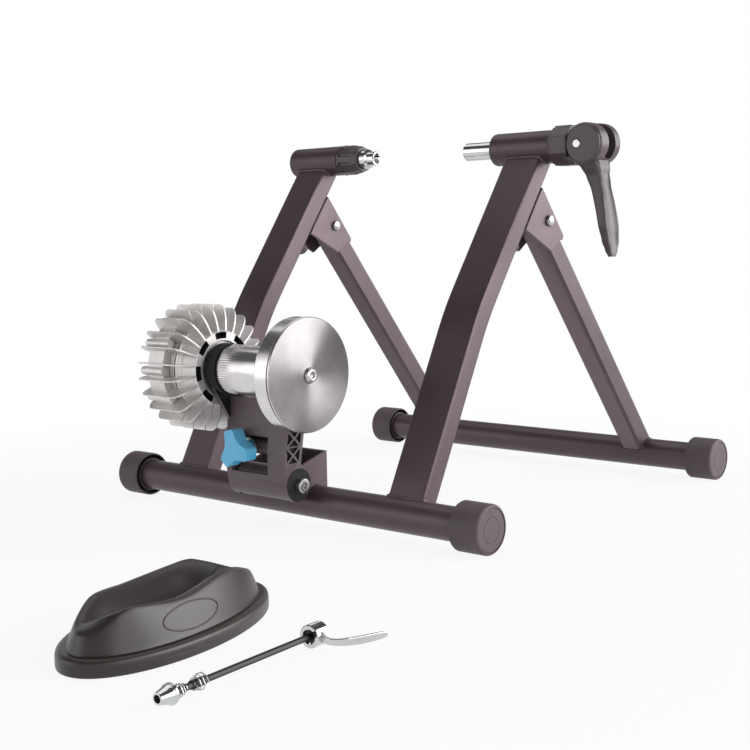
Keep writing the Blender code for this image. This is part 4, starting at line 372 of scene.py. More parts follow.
def eased(profile, radius, steps=3):
    # The same profile with its corners rounded
    result = []
    hollow = profile[0][0] > onAxis
    count = len(profile)
    for i, corner in enumerate(profile):
        if not hollow and i in (0, count - 1):
            result.append(corner)
            continue
        here = Vector(corner)
        before, after = Vector(profile[i - 1]) - here, Vector(profile[(i + 1) % count]) - here
        one = here + before.normalized() * min(radius, before.length * 0.45)
        two = here + after.normalized() * min(radius, after.length * 0.45)
        result += [tuple(curved(one, here, two, k / steps)) for k in range(steps + 1)]
    return result


def pipe(bore, outside, start, end):
    # The profile of a plain ring, or of a plain rod where the bore is 0
    return [(bore, start), (outside, start), (outside, end), (bore, end)]


def prism(name, outline, low, high, axis="X"):
    # An outline in the two other axes, stretched along one
    order = {"X": lambda u, v, w: (w, u, v), "Y": lambda u, v, w: (u, w, v), "Z": lambda u, v, w: (u, v, w)}[axis]
    return lofted(name, [[Vector(order(u, v, level)) for u, v in outline] for level in (low, high)])


def around(width, depth, corner):
    # A rounded rectangle's outline as (u, v)
    points = []
    for cu, cv, start in ((1, 1, 0), (-1, 1, 90), (-1, -1, 180), (1, -1, 270)):
        for i in range(5):
            angle = radians(start + 22.5 * i)
            points.append((cu * (width / 2 - corner) + corner * cos(angle),
                           cv * (depth / 2 - corner) + corner * sin(angle)))
    return points


def easeIn(low, high, value):
    # From 0 at low to 1 at high, level at both ends
    t = min(max((value - low) / (high - low), 0), 1)
    return t * t * (3 - 2 * t)


def bevel(piece, width, segments=2, angle=32):
    edges = piece.modifiers.new("edges", "BEVEL")
    edges.width = width
    edges.segments = segments
    edges.limit_method = "ANGLE"
    edges.angle_limit = radians(angle)
    edges.use_clamp_overlap = True
    return baked(piece)


def cutAway(piece, *cutters):
    for cutter in cutters:
        cut = piece.modifiers.new("cut", "BOOLEAN")
        cut.operation = "DIFFERENCE"
        cut.solver = "EXACT"
        cut.object = cutter
    baked(piece)
    for cutter in cutters:
        bpy.data.objects.remove(cutter)
    return piece


def merged(piece, *others):
    # One object from several
    work = bmesh.new()
    for one in (piece, *others):
        work.from_mesh(one.data)
    work.to_mesh(piece.data)
    work.free()
    for other in others:
        bpy.data.objects.remove(other)
    return piece


def moved(piece, matrix):
    piece.data.transform(matrix)
    return piece


def dress(piece, finish, body, stands=(), smooth=35):
    # The piece's finish, its shading, the body it rides on and the frame nodes it stands for
    mesh = piece.data
    mesh.materials.clear()
    mesh.materials.append(finish)
    for polygon in mesh.polygons:
        polygon.use_smooth = True
    mesh.set_sharp_from_angle(angle=radians(smooth))
    # Flat faces keep flat shading beside their rounded edges
    weighted = piece.modifiers.new("weighted", "WEIGHTED_NORMAL")
    weighted.keep_sharp = True
    baked(piece)
    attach(piece, body)
    if stands:
        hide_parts(*stands)
    return piece


def standIn(piece, finish, node, smooth=35):
    # A dressed piece in the place of one frame node, on that node's body
    return dress(piece, finish, bodyOf[node], [node], smooth)


def refinish(piece, finish, chosen):
    # A second finish on the faces that are chosen
    piece.data.materials.append(finish)
    for polygon in piece.data.polygons:
        if chosen(polygon):
            polygon.material_index = 1


def softened(name, width=0.0008):
    # A copy of a frame piece with its true edges rounded
    work = bmesh.new()
    work.from_mesh(frame["nodes"][name].data)
    bmesh.ops.remove_doubles(work, verts=work.verts, dist=2e-6)
    bmesh.ops.dissolve_limit(work, angle_limit=radians(0.6), verts=work.verts, edges=work.edges)
    mesh = bpy.data.meshes.new(name + "Soft")
    work.to_mesh(mesh)
    work.free()
    piece = bevel(placed(name + "Soft", mesh), width)
    return standIn(piece, finishes[slotOf[name]], name, smooth=40)


# Geometry Nodes: one item repeated round the X axis, joined with a body and set in its place

ringTree = bpy.data.node_groups.new("repeatRoundAxis", "GeometryNodeTree")
ringSockets = {}
for label, kind in (("Body", "Geometry"), ("Item", "Object"), ("Count", "Int"), ("First Angle", "Float"),
                    ("Place", "Vector"), ("Finish", "Material")):
    made = ringTree.interface.new_socket(name=label, in_out="INPUT", socket_type="NodeSocket" + kind)
    ringSockets[label] = made.identifier
ringTree.interface.new_socket(name="Result", in_out="OUTPUT", socket_type="NodeSocketGeometry")
given = addNode(ringTree, "NodeGroupInput")
spots = addNode(ringTree, "GeometryNodeMeshLine", values={"Offset": (0, 0, 0)},
                links={"Count": given.outputs["Count"]})
number = addNode(ringTree, "GeometryNodeInputIndex")
stride = addNode(ringTree, "ShaderNodeMath", {"operation": "DIVIDE"}, {0: 2 * pi}, {1: given.outputs["Count"]})
swept = addNode(ringTree, "ShaderNodeMath", {"operation": "MULTIPLY_ADD"},
                links={0: number.outputs[0], 1: stride.outputs[0], 2: given.outputs["First Angle"]})
spin = addNode(ringTree, "ShaderNodeCombineXYZ", links={"X": swept.outputs[0]})
item = addNode(ringTree, "GeometryNodeObjectInfo", values={"As Instance": True},
               links={"Object": given.outputs["Item"]})
copies = addNode(ringTree, "GeometryNodeInstanceOnPoints",
                 links={"Points": spots.outputs["Mesh"], "Instance": item.outputs["Geometry"],
                        "Rotation": spin.outputs[0]})
whole = addNode(ringTree, "GeometryNodeJoinGeometry")
ringTree.links.new(copies.outputs["Instances"], whole.inputs["Geometry"])
ringTree.links.new(given.outputs["Body"], whole.inputs["Geometry"])
solid = addNode(ringTree, "GeometryNodeRealizeInstances", links={"Geometry": whole.outputs["Geometry"]})
settled = addNode(ringTree, "GeometryNodeTransform",
                  links={"Geometry": solid.outputs["Geometry"], "Translation": given.outputs["Place"]})
finished = addNode(ringTree, "GeometryNodeSetMaterial",
                   links={"Geometry": settled.outputs["Geometry"], "Material": given.outputs["Finish"]})
addNode(ringTree, "NodeGroupOutput", links={"Result": finished.outputs["Geometry"]})


def repeated(body, item, count, firstAngle=0.0, place=(0, 0, 0), finish=None):
    modifier = body.modifiers.new("repeat", "NODES")
    modifier.node_group = ringTree
    for label, value in (("Item", item), ("Count", count), ("First Angle", firstAngle), ("Place", Vector(place)),
                         ("Finish", finish)):
        modifier[ringSockets[label]] = value
    baked(body)
    bpy.data.objects.remove(item)
    return body


# Finned casing: blades in two halves round a neck, with lips at the parting line and pillars between the blades

casing = {"blades": 24, "fin": 0.0635, "finLeft": -0.1015, "root": 0.0013, "tip": 0.00075, "rootRadius": 0.034,
          "bladeEdge": 0.00045, "bladeStart": 0.0368, "sweep": 0.0128, "fullness": 0.87,
          "hub": -0.0418, "neckBore": 0.0278, "neck": 0.0366, "parting": -0.0625, "gap": 0.0007,
          "case": 0.0445, "lip": 0.0465, "drum": 0.0545, "drumStart": -0.0705, "left": -0.0985,
          "cavity": 0.0400, "innerWall": -0.0590, "outerWall": -0.0885, "edge": 0.0006, "sides": 192}
shaftPlace = at(0, unit["y"], unit["z"])
hub, fin, case, lip, cavity = (casing[key] for key in ("hub", "fin", "case", "lip", "cavity"))
innerPart, outerPart = casing["parting"] + casing["gap"], casing["parting"] - casing["gap"]


def blade(name, outline):
    # Cast with draft: thick at the root, thin at the tip
    rows = []
    for way in (-1, 1):
        rows.append([])
        for radius, along in outline:
            share = min(max((radius - casing["rootRadius"]) / (fin - casing["rootRadius"]), 0), 1)
            thick = casing["root"] + (casing["tip"] - casing["root"]) * share
            rows[-1].append(Vector((along, way * thick, radius)))
    return bevel(lofted(name, rows), casing["bladeEdge"], 2, 50)


# Each inner blade sweeps from the neck over the shoulder to the parting line
innerBlade = []
for i in range(11):
    t = pi / 2 * i / 10
    radius = casing["bladeStart"] + (fin - casing["bladeStart"]) * sin(t) ** casing["fullness"]
    innerBlade.append((radius, hub - 0.0004 - casing["sweep"] * (1 - cos(t) ** casing["fullness"])))
innerBlade += [(fin, innerPart), (0.0420, innerPart), (0.0400, hub - 0.0125), (0.0350, hub - 0.0050)]
# Over the neck and the shoulder to the parting line, and back through the cavity and the stepped bore
innerProfile = [
    (casing["neckBore"], hub), (casing["neck"], hub), (0.0378, hub - 0.0016), (0.0425, hub - 0.0125),
    (case, innerPart + 0.0050), (case, innerPart + 0.0028), (lip, innerPart + 0.0024), (lip, innerPart),
    (cavity, innerPart), (cavity, casing["innerWall"]), (0.0113, casing["innerWall"]), (0.0113, -0.0517),
    (0.0070, -0.0517), (0.0070, hub - 0.004), (casing["neckBore"], hub - 0.004)]
inner = spun("casingInner", eased(innerProfile, casing["edge"], 2), (0, 0, 0), sides=casing["sides"])
slot = {"inner": 0.0300, "outer": 0.0366, "half": 12.5, "depth": 0.0085, "count": 8, "first": 4, "round": 0.0022}
kidney = []
for radius, way in ((slot["outer"], 1), (slot["inner"], -1)):
    for i in range(-6, 7):
        angle = radians(slot["half"] * i / 6 * way)
        kidney.append((radius * sin(angle), radius * cos(angle)))
kidneyPrism = bevel(prism("kidney", kidney, hub - slot["depth"], hub + 0.002), slot["round"], 4, 60)
empty = placed("kidneys", bpy.data.meshes.new("kidneys"))
cutAway(inner, repeated(empty, kidneyPrism, slot["count"], radians(slot["first"])))
bladeTurn = pi / casing["blades"]
repeated(inner, blade("innerBlade", innerBlade), casing["blades"], bladeTurn, shaftPlace, castAluminium)
standIn(inner, castAluminium, "fluid_housing_inner")


def inSlot(polygon):
    spot = polygon.center - shaftPlace
    return (hub - slot["depth"] - 0.001 < spot.x < hub - 0.0009
            and slot["inner"] - 0.001 < hypot(spot.y, spot.z) < slot["outer"] + 0.0006)


# Faces deep in the kidney slots are painted black as shade
refinish(inner, slotShade, inSlot)

# The outer half: straight blades with rounded ends, a stepped drum and a shallow dish in its end
drum, drumStart, caseLeft = casing["drum"], casing["drumStart"], casing["left"]
outerBlade = [(0.0420, outerPart), (fin, outerPart)]
for i in range(7):
    t = pi / 2 * i / 6
    outerBlade.append((fin - 0.008 * (1 - cos(t)), casing["finLeft"] + 0.007 * (1 - sin(t))))
outerBlade += [(casing["rootRadius"], casing["finLeft"] + 0.001), (casing["rootRadius"], caseLeft + 0.003),
               (0.0420, -0.0905)]
# From the cavity's stepped end out to the parting line, and over the lips and the drum to the shallow dish
outerProfile = [
    (0, -0.0967), (0.0123, -0.0967), (0.0123, casing["outerWall"]), (cavity, casing["outerWall"]),
    (cavity, outerPart), (lip, outerPart), (lip, outerPart - 0.0016), (case, outerPart - 0.0018),
    (case, outerPart - 0.0034), (lip - 0.0004, outerPart - 0.0036), (lip - 0.0004, outerPart - 0.0050),
    (case, outerPart - 0.0052), (case, drumStart), (drum, drumStart), (drum, caseLeft + 0.006),
    (drum - 0.010, caseLeft), (0.030, caseLeft), (0.029, caseLeft + 0.0012), (0.020, caseLeft + 0.0012),
    (0.018, caseLeft - 0.0016), (0, caseLeft - 0.0016)]
outer = spun("casingOuter", eased(outerProfile, casing["edge"], 2), (0, 0, 0), sides=casing["sides"])
pillar = {"radius": 0.0043, "circle": 0.0533, "long": -0.0662, "short": -0.0690, "recess": 0.0022, "count": 6}
for label, angle in (("long", 0.0), ("short", pi / 6)):
    shape = [(0, caseLeft), (pillar["recess"], caseLeft), (pillar["recess"], caseLeft - 0.0016),
             (0.0040, caseLeft - 0.0019), (0.0043, caseLeft - 0.0004), (pillar["radius"], pillar[label]),
             (0, pillar[label])]
    stud = spun("stud", eased(shape, 0.0005, 2), (0, 0, pillar["circle"]), sides=24)
    repeated(outer, stud, pillar["count"], angle, (0, 0, 0), castAluminium)
repeated(outer, blade("outerBlade", outerBlade), casing["blades"], bladeTurn, shaftPlace, castAluminium)
standIn(outer, castAluminium, "fluid_housing_outer")
print("casing built")


# Flywheel, roller and the screw that holds them


def turnedFinish(name, colours, roughness, anisotropic, ringBump, ringPitch=0.0007):
    # Tool rings round the shaft line: the highlight is drawn out across them
    made = surface(name, colours, grain=0.0006, bump=0.04, roughness=roughness, cloud=0.02, metallic=1.0)
    tree = made.node_tree
    shader = tree.nodes["Principled BSDF"]
    shader.inputs["Anisotropic"].default_value = anisotropic
    shader.inputs["Anisotropic Rotation"].default_value = 0.25  # a quarter turn, across the rings
    grooves = addNode(tree, "ShaderNodeTangent", {"direction_type": "RADIAL", "axis": "X"})
    tree.links.new(grooves.outputs["Tangent"], shader.inputs["Tangent"])
    place = addNode(tree, "ShaderNodeTexCoord")
    centred = addNode(tree, "ShaderNodeMapping", values={"Location": -shaftPlace, "Scale": (0, 1, 1)},
                      links={"Vector": place.outputs["Object"]})
    radius = addNode(tree, "ShaderNodeVectorMath", {"operation": "LENGTH"}, links={0: centred.outputs["Vector"]})
    rings = addNode(tree, "ShaderNodeTexNoise", {"noise_dimensions": "1D"}, {"Scale": 1 / ringPitch, "Detail": 2.0},
                    {"W": radius.outputs["Value"]})
    bumps = [node for node in tree.nodes if node.bl_idname == "ShaderNodeBump"]
    relief = addNode(tree, "ShaderNodeBump", values={"Strength": ringBump, "Distance": 0.00008},
                     links={"Height": rings.outputs["Fac"], "Normal": bumps[0].outputs["Normal"]})
    tree.links.new(relief.outputs["Normal"], shader.inputs["Normal"])
    return made


# Steel faced on a lathe: rings finer than a hair, drawn here at 0.7 mm, spread the light into two bright fans
turnedFace = turnedFinish("turnedFace", ("#938f8f", "#9c9999"), (0.27, 0.31), anisotropic=0.9, ringBump=0.25)
wheel = {"left": 0.0575, "right": 0.0770, "radius": 0.0547, "groove": 0.0028, "grooveDepth": 0.0018,
         "screwBore": 0.0043, "shaftBore": 0.0063, "shaftStop": 0.0673, "dish": 0.0035, "balanceAt": 0.0635,
         "balance": 0.0030}
wheelLeft, wheelRight, radius = wheel["left"], wheel["right"], wheel["radius"]
grooveAt, grooveFoot = wheelRight - wheel["groove"], radius - wheel["grooveDepth"]
profile = [
    (wheel["screwBore"], wheelRight), (radius - 0.0008, wheelRight), (radius, wheelRight - 0.0008),
    (radius, grooveAt + 0.0007), (grooveFoot, grooveAt + 0.0004), (grooveFoot, grooveAt - 0.0004),
    (radius, grooveAt - 0.0007), (radius, wheelLeft + 0.0007), (radius - 0.0007, wheelLeft), (0.046, wheelLeft),
    (0.044, wheelLeft + wheel["dish"]), (0.018, wheelLeft + wheel["dish"]), (0.016, wheelLeft),
    (wheel["shaftBore"], wheelLeft), (wheel["shaftBore"], wheel["shaftStop"]),
    (wheel["screwBore"], wheel["shaftStop"])]
flywheel = spun("flywheelTurned", eased(profile, 0.0004, 2), shaftPlace, sides=192)
# One blind hole drilled in the rim balances it
balancePlace = shaftPlace + Vector((wheel["balanceAt"], 0, 0))
balance = spun("balanceHole", pipe(0, wheel["balance"], 0.050, 0.060), balancePlace, axis="Z", sides=32)
cutAway(flywheel, balance)
standIn(flywheel, turnedFace, "flywheel")

screw = {"seat": 0.0773, "height": 0.0038, "radius": 0.0078, "socket": 0.0026, "socketDepth": 0.0024, "crown": 0.0050,
         "shank": 0.0040, "end": 0.0553}
top = screw["seat"] + screw["height"]
profile = [
    (0, top - screw["socketDepth"]), (screw["socket"], top - screw["socketDepth"]),
    (screw["socket"] + 0.0002, top - 0.0001), (screw["crown"], top), (0.0069, top - 0.0012),
    (screw["radius"], screw["seat"] + 0.0010), (screw["radius"], screw["seat"]), (screw["shank"], screw["seat"]),
    (screw["shank"], screw["end"]), (0, screw["end"])]
screwPiece = spun("flywheelScrewTurned", eased(profile, 0.0005, 3), shaftPlace, sides=64)
standIn(screwPiece, zincPlate, "flywheel_screw")

drive = {"radius": 0.0248, "left": -0.0265, "right": 0.030, "hub": 0.0110, "hubEnd": 0.0572, "boss": 0.009,
         "bossEnd": -0.0274, "chamfer": 0.0012, "flutes": 64, "fluteDepth": 0.00022, "fadeEnd": -0.006, "fade": 0.010}


def flutes(reach, along, angle):
    # Fine axial flutes that fade out towards the roller's middle
    if abs(reach - drive["radius"]) > drive["chamfer"] / 2:
        return 0
    share = min(max((drive["fadeEnd"] - along) / drive["fade"], 0), 1)
    return -drive["fluteDepth"] * share * (1 + cos(drive["flutes"] * angle))


lengthwise = [-0.0255 + 0.0025 * i for i in range(13)]
inset = drive["radius"] - drive["chamfer"]
profile = [(drive["hub"], drive["hubEnd"]), (drive["hub"], drive["right"]), (inset, drive["right"]),
           (drive["radius"], drive["right"] - drive["chamfer"])]
profile += [(drive["radius"], along) for along in reversed(lengthwise)]
profile += [(inset, drive["left"]), (drive["hub"], drive["left"]), (drive["boss"], drive["bossEnd"]),
            (wheel["shaftBore"], drive["bossEnd"]), (wheel["shaftBore"], drive["hubEnd"])]
roller = spun("rollerTurned", profile, shaftPlace, sides=384, wave=flutes)
# Steel turned and then polished: brighter than the flywheel's face, with one long highlight
rollerSteel = turnedFinish("rollerSteel", ("#cfcccc", "#d8d5d5"), (0.20, 0.26), anisotropic=0.45, ringBump=0.1)
standIn(roller, rollerSteel, "roller", smooth=50)
# The flywheel's rim is polished like the roller
refinish(flywheel, rollerSteel, lambda polygon: abs(polygon.normal.x) < 0.7)
print("shaft line built")


# Tubes and sleeves, with fine round walls

tubes = {"radius": 0.01625, "bore": 0.01425, "edge": 0.0004, "nearHalf": 0.2437, "farHalf": 0.2462}
for name, row, half in (("near_base_tube", 0, tubes["nearHalf"]), ("far_base_tube", farAxis.y, tubes["farHalf"])):
    profile = pipe(tubes["bore"], tubes["radius"], -half, half)
    standIn(spun(name + "Fine", eased(profile, tubes["edge"], 2), at(0, row, farAxis.z)), powderCoat, name)
sleeves = {"radius": 0.0168, "inner": 0.1086, "outer": 0.1822, "edge": 0.0016, "leftBore": 0.0113, "rightBore": 0.0098}
for name, start, end, bore in (("left_axle_sleeve", -sleeves["outer"], -sleeves["inner"], sleeves["leftBore"]),
                               ("right_axle_sleeve", sleeves["inner"], sleeves["outer"], sleeves["rightBore"])):
    profile = pipe(bore, sleeves["radius"], start, end)
    standIn(spun(name + "Fine", eased(profile, sleeves["edge"], 3), at(*axle)), powderCoat, name)


# Weld beads: rings along a path that swell and sink as the puddle did

weld = {"radius": 0.0022, "pitch": 0.0042, "step": 0.0007, "sides": 10, "ripple": 0.26, "proud": 0.0003}


def bead(name, corners, body, radius=weld["radius"], closed=False, ripple=weld["ripple"], finish=powderCoat):
    path = [Vector(corner) for corner in corners]
    if closed:
        path.append(path[0])
    spots, length = [], 0.0
    for one, two in zip(path, path[1:]):
        count = max(1, round((two - one).length / weld["step"]))
        for i in range(count):
            spots.append((one.lerp(two, i / count), length + (two - one).length * i / count))
        length += (two - one).length
    if not closed:
        spots.append((path[-1], length))
    rings = []
    for i, (spot, along) in enumerate(spots):
        before = spots[(i - 1) % len(spots) if closed else max(i - 1, 0)][0]
        after = spots[(i + 1) % len(spots) if closed else min(i + 1, len(spots) - 1)][0]
        way = (after - before).normalized()
        one = way.orthogonal().normalized() if not rings else (lastOne - way * lastOne.dot(way)).normalized()
        lastOne = one
        two = way.cross(one)
        swell = 1 - ripple + ripple * abs(sin(pi * along / weld["pitch"]))
        swell += ripple * 0.3 * sin(along * 1700)  # a shorter, uneven ripple over the first
        end = 1 if closed else min(1, 0.35 + min(along, length - along) / (2 * radius))
        rings.append([spot + (one * cos(a) + two * sin(a)) * radius * swell * end
                      for a in loop(weld["sides"])])
    return dress(lofted(name, rings, looped=closed), finish, body, smooth=60)


def onTube(start, way, off, radius):
    # Where a line that lies beside a round tube's axis meets the tube's wall
    return start + way * sqrt(radius**2 - off**2)


legs = {"x": 0.1492, "width": 0.043, "depth": 0.022, "corner": 0.003, "lean": 35.65, "lowLean": 27.45, "topSet": 0.0051,
        "footSet": 0.0041}
struts = {"side": 0.026, "corner": 0.003, "offset": 0.0029, "widest": 0.0155, "bead": 0.0013}
brackets = {"behind": 0.0294, "inset": 0.0006, "heights": (-0.026, -0.014, -0.002, 0.012), "bead": 0.0014}
lean, lowLean = radians(legs["lean"]), radians(legs["lowLean"])
high, back = Vector((0, sin(lean), cos(lean))), Vector((0, cos(lean), -sin(lean)))
lower, lowerBack = Vector((0, sin(lowLean), cos(lowLean))), Vector((0, cos(lowLean), -sin(lowLean)))
strutWay = (farAxis - hinge).normalized()
strutOut = Vector((0, -strutWay.z, strutWay.y))
sleeveSeat, tubeSeat = sleeves["radius"] + weld["proud"], tubes["radius"] + weld["proud"]
legOutline = around(legs["width"], legs["depth"], legs["corner"])
legFront = [(-legs["width"] / 2, 0.001)] + legOutline[10:20] + [(legs["width"] / 2, 0.001)]
for side, way in (("left", -1), ("right", 1)):
    middleX = Vector((way * legs["x"], 0, 0))
    joint = []
    for u, v in legFront:
        off = legs["topSet"] + v
        joint.append(at(*onTube(middleX + axle + back * off + Vector((u, 0, 0)), -high, off, sleeveSeat)))
    bead(f"{side}SleeveWeld", joint, "main_frame")
    joint = []
    for u, v in legOutline:
        off = legs["footSet"] + v
        joint.append(at(*onTube(middleX + Vector((u, 0, farAxis.z)) + lowerBack * off, lower, off, tubeSeat)))
    bead(f"{side}FootWeld", joint, "main_frame", closed=True)
    joint = []
    for u, v in around(struts["side"], struts["side"], struts["corner"]):
        off = struts["offset"] + v
        start = middleX + farAxis + Vector((u, 0, 0)) + strutOut * off
        joint.append(at(*onTube(start, -strutWay, min(off, struts["widest"]), tubeSeat)))
    bead(f"{side}StrutWeld", joint, "folding_stand", struts["bead"], closed=True)
    for edge in (-1, 1):
        edgeX = Vector((edge * (legs["width"] / 2 - brackets["inset"]), 0, 0))
        joint = [at(*(middleX + hinge - back * brackets["behind"] + high * level + edgeX))
                 for level in brackets["heights"]]
        bead(f"{side}BracketWeld{edge}", joint, "main_frame", brackets["bead"])
print("frame tubes and welds built")


# Cam lever: drum with two ears, and a dished handle that bows outwards

lever = {"x": 0.2260, "pin": 0.2190, "pinHole": 0.0048, "drum": 0.0205, "near": 0.1894, "far": 0.2280, "slot": 0.0063,
         "slotFloor": 0.0150, "slotHalf": 0.05, "slotTop": 0.42, "start": 0.012, "length": 0.1115, "steps": 44,
         "round": 0.24, "out": 0.0065, "slant": 0.0225, "curve": 0.0035, "neck": 0.0222, "dish": 0.0021,
         "dishStart": 0.10, "dishIn": 0.18, "dishEnd": 0.97, "dishOut": 0.14}
centreY = (lever["near"] + lever["far"]) / 2
drumProfile = [
    (0, lever["far"]), (lever["drum"], lever["far"]), (lever["drum"], lever["near"] + 0.0030),
    (lever["drum"] - 0.0014, lever["near"] + 0.0022), (lever["drum"] - 0.0018, lever["near"]), (0, lever["near"])]
drumPiece = spun("leverDrum", eased(drumProfile, 0.0016, 4), at(lever["x"], 0, axle.z), axis="Y")
slotLeft, slotRight = middle.x + lever["pin"] - lever["slotHalf"], middle.x + lever["pin"] + lever["slotHalf"]
slotFloor = axle.z - lever["slotFloor"]
slotBox = prism("slot", [(slotLeft, slotFloor), (slotRight, slotFloor), (slotRight, lever["slotTop"]),
                         (slotLeft, lever["slotTop"])],
                middle.y + axle.y - lever["slot"], middle.y + axle.y + lever["slot"], "Y")
pinHole = spun("pinHole", pipe(0, lever["pinHole"], 0, 0.5), at(lever["pin"], 0, axle.z), axis="Y", sides=48)
cutAway(drumPiece, slotBox, pinHole)
bevel(drumPiece, 0.0005, 2, 40)
# Share of the handle's length, then its thickness and width there
stations = ((0.00, 0.0370, 0.0330), (0.05, 0.0290, 0.0300), (0.11, 0.0222, 0.0262), (0.20, 0.0180, 0.0212),
            (0.34, 0.0142, 0.0204), (0.50, 0.0120, 0.0238), (0.68, 0.0102, 0.0262), (0.84, 0.0086, 0.0218),
            (0.94, 0.0068, 0.0152), (1.00, 0.0046, 0.0086))
# The dish runs between two rims along the outer face: place across, then share of its depth
dishLine = ((-0.36, 0.0), (-0.30, 0.55), (-0.18, 1.0), (0.0, 1.0), (0.18, 1.0), (0.30, 0.55), (0.36, 0.0))


def between(share, column):
    for one, two in zip(stations, stations[1:]):
        if share <= two[0]:
            return one[column] + (two[column] - one[column]) * easeIn(one[0], two[0], share)
    return stations[-1][column]


rings = []
for i in range(lever["steps"] + 1):
    share = i / lever["steps"]
    down = lever["start"] + (lever["length"] - lever["start"]) * share
    thick, wide = between(share, 1), between(share, 2)
    bow = lever["out"] + lever["slant"] * share + lever["curve"] * sin(pi * share)
    bow -= max(thick - lever["neck"], 0) / 2  # the thick root grows inwards only
    dish = lever["dish"] * min(max((share - lever["dishStart"]) / lever["dishIn"], 0), 1)
    dish *= min(max((lever["dishEnd"] - share) / lever["dishOut"], 0), 1)
    spine = at(lever["pin"] + bow, centreY, axle.z - down)
    ring = [spine + Vector((u, v, 0)) for u, v in around(thick, wide, min(thick, wide) * lever["round"])]
    face = [spine + Vector((thick / 2 - dish * depth, wide * across, 0)) for across, depth in dishLine]
    rings.append(ring[5:20] + face + ring[0:5])
handle = lofted("leverHandle", rings)
standIn(merged(drumPiece, handle), mouldedNylon, "cam_lever", smooth=38)
print("lever built")


# Tension knob: three arms with flat ends and hollow sides

knob = {"x": -0.013, "z": 0.0798, "back": -0.0442, "thick": 0.014, "radius": 0.0207, "waist": 0.0108, "half": 18,
        "turn": 107, "tipRound": 0.0036, "edge": 0.0016, "neck": 0.0083, "neckRadius": 0.0072, "bossRadius": 0.0065,
        "bore": 0.0033, "boreDepth": 0.012}
# Each arm's flat end and the hollow side up to the next arm: degrees from the arm, and share of the reach
outline = []
for i in range(3):
    for turnBy, share in ((-knob["half"], 1), (knob["half"], 1), (knob["half"] + 10, 0.42), (50, 0.05), (70, 0.05),
                          (110 - knob["half"], 0.42)):
        angle = radians(knob["turn"] + 120 * i + turnBy)
        reach = knob["waist"] + (knob["radius"] - knob["waist"]) * share
        outline.append((reach * cos(angle), reach * sin(angle)))
knobPlace = at(knob["x"], 0, knob["z"])
soft = []
for i, corner in enumerate(outline):
    here = Vector(corner)
    before, after = Vector(outline[i - 1]) - here, Vector(outline[(i + 1) % len(outline)]) - here
    one, two = here + before * 0.46, here + after * 0.46
    if i % 6 < 2:  # the two corners at an arm's end
        one, two = here + before.normalized() * knob["tipRound"], here + after.normalized() * knob["tipRound"]
    for t in (0, 0.12, 0.25, 0.38, 0.5, 0.62, 0.75, 0.88, 1):
        u, v = curved(one, here, two, t)
        soft.append((knobPlace.x + u, knobPlace.z + v))
neckFront = knob["back"] - knob["neck"]
front = middle.y + neckFront - knob["thick"]
knobPiece = bevel(prism("knobFine", soft, front, front + knob["thick"], "Y"), knob["edge"], 4, 50)
neckProfile = [
    (0, neckFront - 0.001), (knob["neckRadius"], neckFront - 0.001), (knob["bossRadius"], knob["back"] - 0.004),
    (knob["bossRadius"], knob["back"]), (knob["bore"], knob["back"]), (knob["bore"], knob["back"] - knob["boreDepth"]),
    (0, knob["back"] - knob["boreDepth"])]
neckPiece = spun("knobNeck", eased(neckProfile, 0.0005), knobPlace, axis="Y", sides=48)
standIn(merged(knobPiece, neckPiece), bluePlastic, "tension_knob", smooth=38)
print("knob built")


# Front wheel block: an oval rim, and a body with two crests that carry the tyre between them

block = {"x": 0.191, "y": -0.322, "turn": 14, "long": 0.1095, "wide": 0.053, "rim": 0.0125, "ledge": 0.0078,
         "endShare": 0.42, "crestIn": 0.0125, "blend": 0.016, "channel": 0.0040, "channelIn": (-0.84, -0.66),
         "channelOut": (0.34, 0.74), "dents": ((-0.93, -0.84), (-0.62, -0.20)), "sides": 224, "steps": 32}
bodyLong, bodyWide, rim = block["long"] - block["ledge"], block["wide"] - block["ledge"], block["rim"]
# Crest heights over the rim, from the low end at -1 to the far end at 1, on the near and the far side
nearCrest = ((-1.0, 0.0125), (-0.95, 0.0140), (-0.91, 0.0180), (-0.85, 0.0226), (-0.80, 0.0262), (-0.73, 0.0288),
             (-0.60, 0.0279), (-0.42, 0.0259), (-0.29, 0.0253), (-0.17, 0.0259), (-0.04, 0.0276), (0.11, 0.0297),
             (0.26, 0.0306), (0.36, 0.0300), (0.46, 0.0280), (0.57, 0.0248), (0.68, 0.0205), (0.80, 0.0160),
             (1.0, 0.0120))
farCrest = ((-1.0, 0.0125), (-0.90, 0.0135), (-0.80, 0.0160), (-0.70, 0.0196), (-0.60, 0.0234), (-0.50, 0.0258),
            (-0.36, 0.0254), (-0.12, 0.0236), (0.15, 0.0235), (0.42, 0.0246), (0.56, 0.0255), (0.64, 0.0249),
            (0.71, 0.0220), (0.80, 0.0168), (0.90, 0.0130), (1.0, 0.0120))
# How far each wall ring stands in from the rim's ledge, and its share of the height
wallRings = ((0.0, 0.0), (0.0006, 0.03), (0.0013, 0.10), (0.0028, 0.28), (0.0046, 0.48), (0.0064, 0.66),
             (0.0078, 0.79), (0.0091, 0.885), (0.0104, 0.955), (0.0119, 0.992), (0.0134, 1.0))


def flowing(points, place):
    # A smooth curve through (place, value) pairs
    k = 0
    while k < len(points) - 2 and points[k + 1][0] <= place:
        k += 1
    (x0, y0), (x1, y1) = points[k], points[k + 1]
    before, after = points[max(k - 1, 0)], points[min(k + 2, len(points) - 1)]
    slope0, slope1 = (y1 - before[1]) / (x1 - before[0]), (after[1] - y0) / (after[0] - x0)
    wide = x1 - x0
    t = min(max((place - x0) / wide, 0), 1)
    return ((2 * t**3 - 3 * t**2 + 1) * y0 + (t**3 - 2 * t**2 + t) * wide * slope0
            + (3 * t**2 - 2 * t**3) * y1 + (t**3 - t**2) * wide * slope1)


